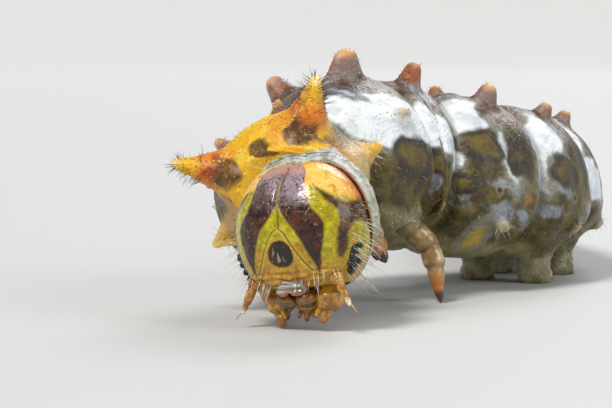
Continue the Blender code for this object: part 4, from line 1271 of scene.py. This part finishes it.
def head_finish():
    """Glossy horn, lime and cream with dark brown bands, a spotted face plate and an amber muzzle."""
    f = Finish("head capsule", soft=0.12, soft_depth=0.2, Coat_Weight=0.30, Coat_Roughness=0.10,
               Specular_IOR_Level=0.35)
    cloud, mottle, grain = f.noise(0.55, 3), f.noise(0.17, 3), f.noise(0.055, 2)
    fray = (cloud - 0.5) * 0.10 + (mottle - 0.5) * 0.15 + (grain - 0.5) * 0.07
    high, turn = f.field("high"), f.field("turn")
    speckle = f.step(mottle + (grain - 0.5) * 0.5, 0.36, 0.66)
    speckled = partial(f.mix, speckle)

    # lime sides, a cream cap that turns orange behind, and an amber cheek and muzzle
    lime = speckled((0.30, 0.245, 0.003), LIME)
    f.colour = f.mix(f.step(cloud, 0.48, 0.62) * 0.35, lime, (0.56, 0.40, 0.01))
    cream = f.mix(f.step(cloud + (mottle - 0.5) * 0.3, 0.32, 0.54), (0.80, 0.36, 0.02), CREAM)
    cream = f.mix(f.step(turn + high * 18 + fray * 60, 90, 114), cream, (0.62, 0.16, 0.005))
    flecks = f.step(f.noise(0.28, 2), 0.60, 0.66)
    cream = f.mix(flecks * 0.8, cream, (0.62, 0.24, 0.006))
    f.lay(f.step(high + (turn - 45) * 0.0093 + fray, 0.80, 0.96), cream)
    f.lay(f.step(turn, 112, 140), speckled((0.24, 0.065, 0.006), (0.42, 0.15, 0.015)))
    amber = f.mix(f.step(cloud + (mottle - 0.5) * 0.7, 0.36, 0.66), DEEP_AMBER, AMBER)
    amber = f.mix(f.step(grain + (mottle - 0.5), 0.55, 0.75) * 0.5, amber, (0.62, 0.40, 0.10))
    cheek = speckled((0.38, 0.22, 0.010), AMBER)
    f.lay((1 - f.step(high + fray * 1.8, -0.76, -0.34)) * 0.9, cheek)
    face = f.step(f.field("face") + fray * 0.2, -0.02, 0.03)
    muzzle = 1 - f.step(high + fray * 1.5, -0.34, -0.06)
    f.lay(face, f.mix(muzzle, lime, speckled((0.36, 0.17, 0.010), (0.50, 0.30, 0.022))))
    f.lay(face * (1 - f.step(high + fray * 1.5, -0.74, -0.46)), amber)
    plate_edge = 1 - f.step(f.field("seam"), 0.03, 0.09)
    f.lay(plate_edge * face * 0.6, (0.50, 0.42, 0.02))

    # dark bands, brighter red brown in places, with a painted mauve sheen on the upper lobes, a reflection
    # of the light over a somewhat paler colour, and a painted highlight on their tops
    chocolate = f.mix(f.step(cloud + (mottle - 0.5) * 0.8, 0.42, 0.62), CHOCOLATE, RED_BROWN)
    chocolate = f.mix(speckle * 0.3, chocolate, (0.12, 0.035, 0.008))
    dark = f.step(f.field("dark") + fray * 0.6, -0.025, 0.04)
    side = f.step(f.field("side") + 0.02 + fray * 1.2, -0.04, 0.06)
    f.lay(side, f.mix(f.step(mottle, 0.38, 0.60), (0.026, 0.010, 0.003), (0.115, 0.045, 0.008)))
    f.lay(dark, chocolate)
    # painted reflection: a mauve sheen of the light on the upper dark bands, partly a paler colour, with
    # real dark specks in it
    painted_sheen = f.step(cloud + (grain - 0.5) * 0.3, 0.35, 0.62)
    painted_sheen = f.mix(painted_sheen, (0.130, 0.085, 0.085), (0.330, 0.265, 0.300))
    painted_sheen = f.mix(1 - f.step(f.cells(0.075), 0.20, 0.36), painted_sheen, (0.085, 0.020, 0.010))
    f.lay(dark * f.step(high + fray * 2.4, 0.44, 0.78), painted_sheen)
    # painted highlight on the very tops of the lobes
    top_highlight = f.step(high + fray * 1.4, 1.06, 1.26)
    f.lay(dark * top_highlight * 0.7, (0.58, 0.33, 0.26))
    crown = f.step(turn + high * 12 + fray * 40, 104, 118) * f.step(high, 0.2, 0.5)
    f.lay(crown * 0.8, (0.40, 0.085, 0.008))

    # the spot on the face plate with painted grey glints, the seams, pale grains on the bands, and a dot
    # above the eyes
    spot = f.field("spot") + fray * 0.3
    f.lay(f.step(spot, -0.10, -0.03) * 0.7, (0.50, 0.30, 0.015))
    # painted highlights: grey glint streaks inside the dark spot
    painted_glints = f.noise(0.10, 2, 0.5, (1.6, 1.6, 0.35))
    inside = f.mix(f.step(cloud, 0.45, 0.6), (0.014, 0.006, 0.003), (0.045, 0.014, 0.004))
    inside = f.mix(f.step(painted_glints, 0.52, 0.62) * f.step(spot, 0.06, 0.14), inside, (0.30, 0.24, 0.22))
    f.lay(f.step(spot, -0.02, 0.03), inside)
    above = f.step(high, 0.42, 0.56) * (1 - f.step(high, 1.0, 1.25))
    f.lay((1 - f.step(f.field("seam"), 0.026, 0.055)) * above * 0.8, (0.50, 0.40, 0.20))
    f.lay((1 - f.step(f.field("seam"), 0.005, 0.024)) * 0.85, (0.075, 0.040, 0.004))
    specks = 1 - f.step(f.cells(0.13), 0.10, 0.20)
    f.lay(specks * f.step(dark + side, 0.4, 0.9) * 0.6, (0.40, 0.17, 0.06))
    f.lay(f.step(f.field("dot"), -0.01, 0.02), (0.74, 0.24, 0.05))

    relief = (1 - f.step(f.cells(0.11), 0.0, 0.42)) * 0.8 + f.noise(0.09, 3) * 0.8 + f.noise(0.03, 2) * 0.25
    relief = relief + (1 - f.step(high, -0.85, -0.55)) * f.noise(0.13, 3, 0.6, (1, 1, 2.2)) * 2.0
    rough = 0.24 + (mottle - 0.5) * 0.25 + (1 - f.step(high, -0.9, -0.5)) * 0.04
    return f.paint(rough, relief, 0.018, 1.0)


def amber_finish(name, dark, pale, tip, clear=0.10):
    """Translucent horn that goes from amber to another colour along a piece."""
    f = Finish(name, soft=clear, soft_depth=0.2, Coat_Weight=0.5, Coat_Roughness=0.12)
    cloud, grain = f.noise(0.22, 3), f.noise(0.06, 2)
    f.colour = f.mix(f.step(cloud + (grain - 0.5) * 0.4, 0.38, 0.62), dark, pale)
    f.lay(f.step(f.field("down") + (cloud - 0.5) * 0.2, 0.74, 0.93), tip)
    return f.paint(0.28 + (cloud - 0.5) * 0.3, f.noise(0.07, 3), 0.012, 0.6)


def lip_finish():
    """A glassy grey plate with an amber edge."""
    f = Finish("upper lip", soft=0.10, soft_depth=0.2, Coat_Weight=0.8, Coat_Roughness=0.08)
    lines = f.noise(0.16, 3, 0.6, (0.25, 0.25, 3.0))
    plate = f.mix(f.step(lines, 0.40, 0.60), (0.16, 0.10, 0.055), (0.46, 0.42, 0.38))
    f.colour = f.mix(f.step(f.field("down") + (lines - 0.5) * 0.3, 0.55, 0.80), plate, (0.40, 0.15, 0.02))
    f.lay(f.step(1 - f.field("down"), 0.74, 0.94) * 0.8, (0.72, 0.70, 0.68))
    return f.paint(0.16 + lines * 0.14, lines, 0.020, 0.9)


def eye_finish():
    """Polished black with a slight brown depth."""
    f = Finish("eye", Coat_Weight=0.7, Coat_Roughness=0.04, Specular_IOR_Level=0.3)
    cloud = f.noise(0.08, 2)
    f.colour = f.mix(f.step(cloud, 0.4, 0.7), (0.004, 0.004, 0.006), (0.020, 0.012, 0.010))
    return f.paint(0.08 + cloud * 0.08, cloud, 0.004, 0.4)


def leg_finish():
    """Pale horn, banded brown at the joints, with a dark claw."""
    f = Finish("leg", soft=0.08, soft_depth=0.25, Coat_Weight=0.45, Coat_Roughness=0.14)
    cloud, mottle, down = f.noise(0.35, 3), f.noise(0.10, 2), f.field("down")
    clouds = f.step(cloud + (mottle - 0.5) * 0.4, 0.38, 0.62)
    f.colour = f.mix(clouds, (0.24, 0.15, 0.045), (0.46, 0.36, 0.17))
    for joint in (0.42, 0.60, 0.75):
        ring = f.step(down, joint - 0.05, joint - 0.01) * (1 - f.step(down, joint + 0.01, joint + 0.05))
        f.lay(ring * 0.6, (0.20, 0.085, 0.020))
    f.lay(1 - f.step(down + (cloud - 0.5) * 0.2, 0.34, 0.50), (0.20, 0.16, 0.07))
    f.lay(f.step(down + (cloud - 0.5) * 0.08, 0.72, 0.88), (0.42, 0.15, 0.020))
    f.lay(f.step(down, 0.88, 0.95), (0.06, 0.018, 0.006))
    return f.paint(0.30 + (cloud - 0.5) * 0.25, f.noise(0.06, 3), 0.012, 0.6)


def hair_finish():
    """Hairs from glassy white to black, paler at the tip."""
    f = Finish("hairs", Coat_Weight=0.3, Coat_Roughness=0.2)
    tone, down = f.field("tone"), f.field("down")
    white = f.mix(f.step(f.noise(0.12, 2), 0.35, 0.65), (0.50, 0.42, 0.28), (0.80, 0.77, 0.70))
    dark = f.mix(f.step(down, 0.3, 1.0), (0.012, 0.008, 0.006), (0.10, 0.055, 0.030))
    f.colour = f.mix(f.step(tone, 0.35, 0.65), white, dark)
    return f.paint(0.34 + tone * 0.1, f.noise(0.05, 2), 0.003, 0.3)


def bead_finish():
    """Small horny grains: pale on the yellow of the shoulders, reddish on the horns."""
    f = Finish("skin grains", soft=0.06, soft_depth=0.1, Coat_Weight=0.5, Coat_Roughness=0.15)
    tone, mottle = f.field("tone"), f.noise(0.08, 2)
    f.colour = f.mix(f.step(tone, 0.30, 0.45), (0.80, 0.52, 0.06), (0.50, 0.15, 0.01))
    f.lay(f.step(tone, 0.60, 0.75), (0.40, 0.33, 0.28))
    f.lay(f.step(mottle, 0.45, 0.7) * 0.4, (0.90, 0.78, 0.45))
    return f.paint(0.30 + (mottle - 0.5) * 0.2, mottle, 0.004, 0.4)


# Floor, light and camera

# In metres: the flat floor, and each step of its curved edge
FLOOR_RADIUS = 0.5
FLOOR_STEP = 0.035

# The view's tilt and its distance from the head in millimetres, the picture's width and the millimetres to
# one of its pixels at the head, and how many pixels its middle is to the right of the head's and above it
VIEW_DOWN = math.radians(4)
VIEW_FROM = 45
PICTURE_WIDTH = 612
PIXEL = 0.0197
AIM_RIGHT, AIM_UP = 3, 28
SENSOR = 36


def add_sun(name, way, softness, power, colour):
    """A soft studio light that comes from far off, along this way."""
    data = bpy.data.lights.new(name, "SUN")
    data.angle = softness
    data.energy = power
    data.color = colour
    placed(name, data).rotation_euler = Vector(way).to_track_quat("-Z", "Y").to_euler()


def add_stage():
    """A pale floor whose edge curves up all round, under soft studio light."""
    deselect()
    bpy.ops.mesh.primitive_circle_add(vertices=96, radius=FLOOR_RADIUS, fill_type="NGON")
    floor = bpy.context.object
    floor.name = floor.data.name = "floor"
    bpy.ops.object.mode_set(mode="EDIT")
    bpy.ops.mesh.select_mode(type="EDGE")
    bpy.ops.mesh.select_all(action="SELECT")
    bpy.ops.mesh.region_to_loop()
    radius = FLOOR_RADIUS
    for step in range(1, 13):
        turn = math.radians(step * 5.5)
        wider = radius + FLOOR_STEP * math.cos(turn)
        bpy.ops.mesh.extrude_edges_move()
        bpy.ops.transform.translate(value=(0, 0, FLOOR_STEP * math.sin(turn)))
        bpy.ops.transform.resize(value=(wider / radius, wider / radius, 1), center_override=(0, 0, 0))
        radius = wider
    bpy.ops.object.mode_set(mode="OBJECT")
    bpy.ops.object.shade_smooth()
    pale = Finish("pale floor", Base_Color=(0.57, 0.575, 0.572, 1), Roughness=0.65)
    floor.data.materials.append(pale.material)
    world = bpy.data.worlds.new("studio")
    world.use_nodes = True
    sky = world.node_tree.nodes["Background"].inputs
    sky["Color"].default_value = (0.84, 0.87, 0.90, 1)
    sky["Strength"].default_value = 0.34
    bpy.context.scene.world = world
    bpy.context.scene.view_settings.view_transform = "Standard"
    add_sun("key", (0.22, 0.30, -0.52), 0.30, 2.7, (1, 0.97, 0.93))
    add_sun("fill", (-0.48, 0.22, -0.28), 0.55, 1.0, (0.93, 0.96, 1))
    add_sun("back", (-0.22, -0.50, -0.42), 0.45, 1.1, (0.97, 0.98, 1))


def add_camera():
    """The camera, in front of the face and looking a little down on it."""
    view = np.array((0.0, math.cos(VIEW_DOWN), -math.sin(VIEW_DOWN)))
    right = np.array((1.0, 0.0, 0.0))
    up = np.cross(right, view)
    aim = HEAD_CENTRE + (right * AIM_RIGHT + up * AIM_UP) * PIXEL
    place = (aim - view * VIEW_FROM - PLAN_CENTRE) * MM
    data = bpy.data.cameras.new("camera")
    data.sensor_width = SENSOR
    data.lens = SENSOR / (PICTURE_WIDTH * PIXEL / VIEW_FROM)
    data.clip_start = 0.0001
    data.clip_end = 3
    camera = placed("camera", data)
    turn = Matrix((Vector(right), Vector(up), -Vector(view))).transposed().to_4x4()
    camera.matrix_world = Matrix.Translation(Vector(place)) @ turn
    bpy.context.scene.camera = camera


# Hairs and grains

def within(values, low, high):
    """Where values lie between two others."""
    return (values > low) & (values < high)


def pick(ground, where, count):
    """Points of the ground chosen at random, evenly over the area where the mask holds."""
    weight = ground.area * where
    count = min(count, int((weight > 0).sum()))
    return RANDOM.choice(len(weight), count, replace=False, p=weight / weight.sum())


def hairs_on(ground, groups):
    """What make_hairs takes, for groups of hairs.

    A group is (mask, count, shortest, longest, thickness, pull of direction, droop, share of black ones).
    """
    parts = []
    for where, count, short, long, thick, pull, droop, black in groups:
        chosen = pick(ground, where, count)
        ways = ground.normals[chosen] + np.array(pull) + RANDOM.normal(0, 0.16, (len(chosen), 3))
        lengths = RANDOM.uniform(short, long, len(chosen))
        tones = (RANDOM.uniform(size=len(chosen)) < black).astype(float)
        roots = ground.places[chosen] - ground.normals[chosen] * 0.02
        thickness, drops = np.full(len(chosen), thick), np.full(len(chosen), droop)
        parts.append((roots, unit(ways), lengths, thickness, drops, ground.unwrap[chosen], tones))
    return [np.concatenate(column) for column in zip(*parts)]


def make_body_hairs(ground):
    """Black bristles on the horns, pale spines on their tips, and sparse fine hairs elsewhere."""
    s, turn, raised, lowered = (ground.fields[word] for word in ("place", "turn", "raised", "lowered"))
    front, above_floor = s < 1.5, ground.places[:, 2] > 0.1
    high, low = (0, 0, 0.25), (0, 0, -0.3)
    groups = (
        (front & within(raised, 0.42, 0.86) & (turn < 80), 150, 0.14, 0.32, 0.0070, high, 0.05, 0.9),
        (front & (raised > 0.84) & (turn < 80), 64, 0.14, 0.26, 0.0085, high, 0.0, 0.35),
        (front & (turn > 80) & (raised > 0.30), 50, 0.20, 0.40, 0.0055, (0.1, 0, 0), 0.15, 0.05),
        (~front & (raised > 0.55) & (turn < 90), 300, 0.06, 0.16, 0.0060, high, 0.0, 0.6),
        (~front & (raised > 0.35) & (turn > 90), 170, 0.12, 0.28, 0.0045, low, 0.3, 0.1),
        (front & (turn < 70) & (raised < 0.1), 90, 0.05, 0.14, 0.0055, high, 0.0, 0.6),
        (within(turn, 104, 150) & (s > 0.9) & (lowered < 0.05), 300, 0.06, 0.17, 0.0035, low, 0.3, 0.1),
        (~front & (turn < 98) & (raised < 0.2), 420, 0.03, 0.07, 0.0035, high, 0.0, 0.5),
        (within(lowered, 0.25, 0.95) & above_floor, 330, 0.05, 0.12, 0.0040, low, 0.1, 0.1),
    )
    return make_hairs("body_hairs", *hairs_on(ground, groups))


def make_grip_hooks():
    """The small brown hooks in an arc along the inner edge of each proleg's sole."""
    roots, ways, marks = [], [], []
    for number, (place, _, spread, _, radii, toe) in enumerate(PROLEGS):
        for side in (1, -1):
            foot, level, outward = proleg_stance(place, spread, toe, side)
            for k in range(HOOKS):
                turn = math.radians(95 + 170 * k / (HOOKS - 1))
                way = outward * math.cos(turn) + level * math.sin(turn)
                up = np.array((0, 0, HOOK_HEIGHT - 0.02 * (k % 2)))
                roots.append(foot + way * (radii[-1] - HOOK_INSET) + up)
                ways.append(unit(way * 0.9 + np.array((0, 0, 0.15))))
                marks.append((0.1 + 0.08 * number + 0.02 * side, 0.2 + 0.02 * k))
    sizes = [np.full(len(roots), size) for size in HOOK_SIZES]
    arrays = np.array(roots), np.array(ways), *sizes, np.array(marks), np.ones(len(roots))
    return make_hairs("grip_hooks", *arrays)


def make_head_hairs(ground):
    """White hairs on the cheeks and round the mouth, and very short ones over the rest of the head."""
    turn, high = ground.fields["turn"], ground.fields["high"]
    down = -HEAD_TOP * 0.9 + HEAD_AHEAD * 0.1
    groups = []
    for side in (1, -1):
        half = ground.fields["side_of"] == side
        out = HEAD_LEFT * side * 0.9 - HEAD_TOP * 0.75 + HEAD_AHEAD * 0.15
        cheek = half & within(turn, 74, 102) & within(high, -0.98, 0.12)
        temple = half & within(turn, 76, 102) & within(high, 0.1, 0.5)
        mouth_side = half & within(turn, 36, 74) & within(high, -1.02, -0.74)
        groups += [
            (cheek, 54, 0.26, 0.60, 0.0062, out, 0.1, 0),
            (temple, 22, 0.08, 0.20, 0.0045, out, 0.0, 0.2),
            (mouth_side, 11, 0.22, 0.42, 0.0080, down, 0.1, 0),
        ]
    groups += [
        ((turn < 36) & within(high, -1.0, -0.84), 7, 0.20, 0.36, 0.0085, down, 0.0, 0),
        ((turn < 80) & within(high, -0.6, 0.9), 130, 0.03, 0.07, 0.0045, -HEAD_TOP * 0.2, 0.0, 0.6),
        ((high > 0.5) & (turn < 130), 120, 0.04, 0.10, 0.0045, HEAD_TOP * 0.2, 0.0, 0.85),
    ]
    return make_hairs("head_hairs", *hairs_on(ground, groups))


def make_skin_grains(ground):
    """Pale grains on the thorax's ridges, reddish ones on the horns, grey ones on the other tubercles."""
    s, turn, raised = (ground.fields[word] for word in ("place", "turn", "raised"))
    front = s < 1.5
    groups = (
        (front & (np.abs(s - 0.73) < 0.035) & within(turn, 6, 40), 54, 0.016, 0.032, 0.1),
        (front & (np.abs(s - 0.90) < 0.03) & (turn < 26), 26, 0.016, 0.030, 0.1),
        (front & within(raised, 0.10, 0.80) & (turn < 80), 130, 0.014, 0.026, 0.5),
        (front & (turn < 62) & (raised < 0.1), 90, 0.008, 0.015, 0.1),
        ((np.abs(s - 1.97) < 0.04) & (turn < 34), 40, 0.014, 0.028, 0.1),
        ((s > 1.5) & within(raised, 0.12, 0.75), 420, 0.010, 0.020, 0.9),
    )
    parts = []
    for where, count, small, large, tone in groups:
        chosen = pick(ground, where, count)
        sizes = RANDOM.uniform(small, large, len(chosen))
        tones = np.full(len(chosen), tone)
        parts.append((ground.places[chosen], ground.normals[chosen], sizes, ground.unwrap[chosen], tones))
    return make_beads("skin_grains", *[np.concatenate(column) for column in zip(*parts)])


def dress(piece, material, slot, *nodes):
    """Gives a finished piece its finish, its place and what it stands for."""
    settle(piece)
    piece.data.materials.clear()
    piece.data.materials.append(material)
    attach(piece, "root")
    if nodes:
        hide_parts(*nodes)


SKIN_NODES = ["neck"] + ["thorax_%d" % k for k in (1, 2, 3)] + ["abdomen_%d" % k for k in range(1, 11)]
SKIN_NODES += ["proleg_%d_%s" % (k, side) for k in (3, 4, 5, 6, 10) for side in ("left", "right")]

skin, skin_ground = make_skin()
dress(skin, skin_finish(), "abdomen_skin", *SKIN_NODES)
head, head_ground = make_head()
dress(head, head_finish(), "head_capsule", "head")

mouth = amber_finish("mouth amber", DEEP_AMBER, AMBER, (0.20, 0.06, 0.012))
jaw = amber_finish("jaws", (0.08, 0.028, 0.006), (0.30, 0.125, 0.015), (0.03, 0.010, 0.005), 0.04)
feeler = amber_finish("feelers", (0.28, 0.10, 0.012), (0.56, 0.30, 0.045), (0.78, 0.68, 0.48))
black = eye_finish()
legs = leg_finish()
dress(make_labrum(), lip_finish(), "mouthparts", "labrum")
dress(make_labium(), mouth, "mouthparts", "labium")
for word, side in (("left", 1), ("right", -1)):
    dress(make_mandible(word, side), jaw, "mouthparts", "mandible_" + word)
    dress(make_maxilla(word, side), mouth, "mouthparts", "maxilla_" + word)
    dress(make_antenna(word, side), feeler, "mouthparts", "antenna_" + word)
    dress(make_eye(word, side), black, "eye", "eye_" + word)
    for number in (1, 2, 3):
        node = "leg_%d_%s" % (number, word)
        dress(make_leg(node, number, side, *LEGS[node]), legs, "leg", node)

hairs = hair_finish()
dress(make_body_hairs(skin_ground), hairs, "abdomen_skin")
dress(make_grip_hooks(), hairs, "abdomen_skin")
dress(make_head_hairs(head_ground), hairs, "head_capsule")
dress(make_skin_grains(skin_ground), bead_finish(), "thorax_skin")

add_stage()
add_camera()
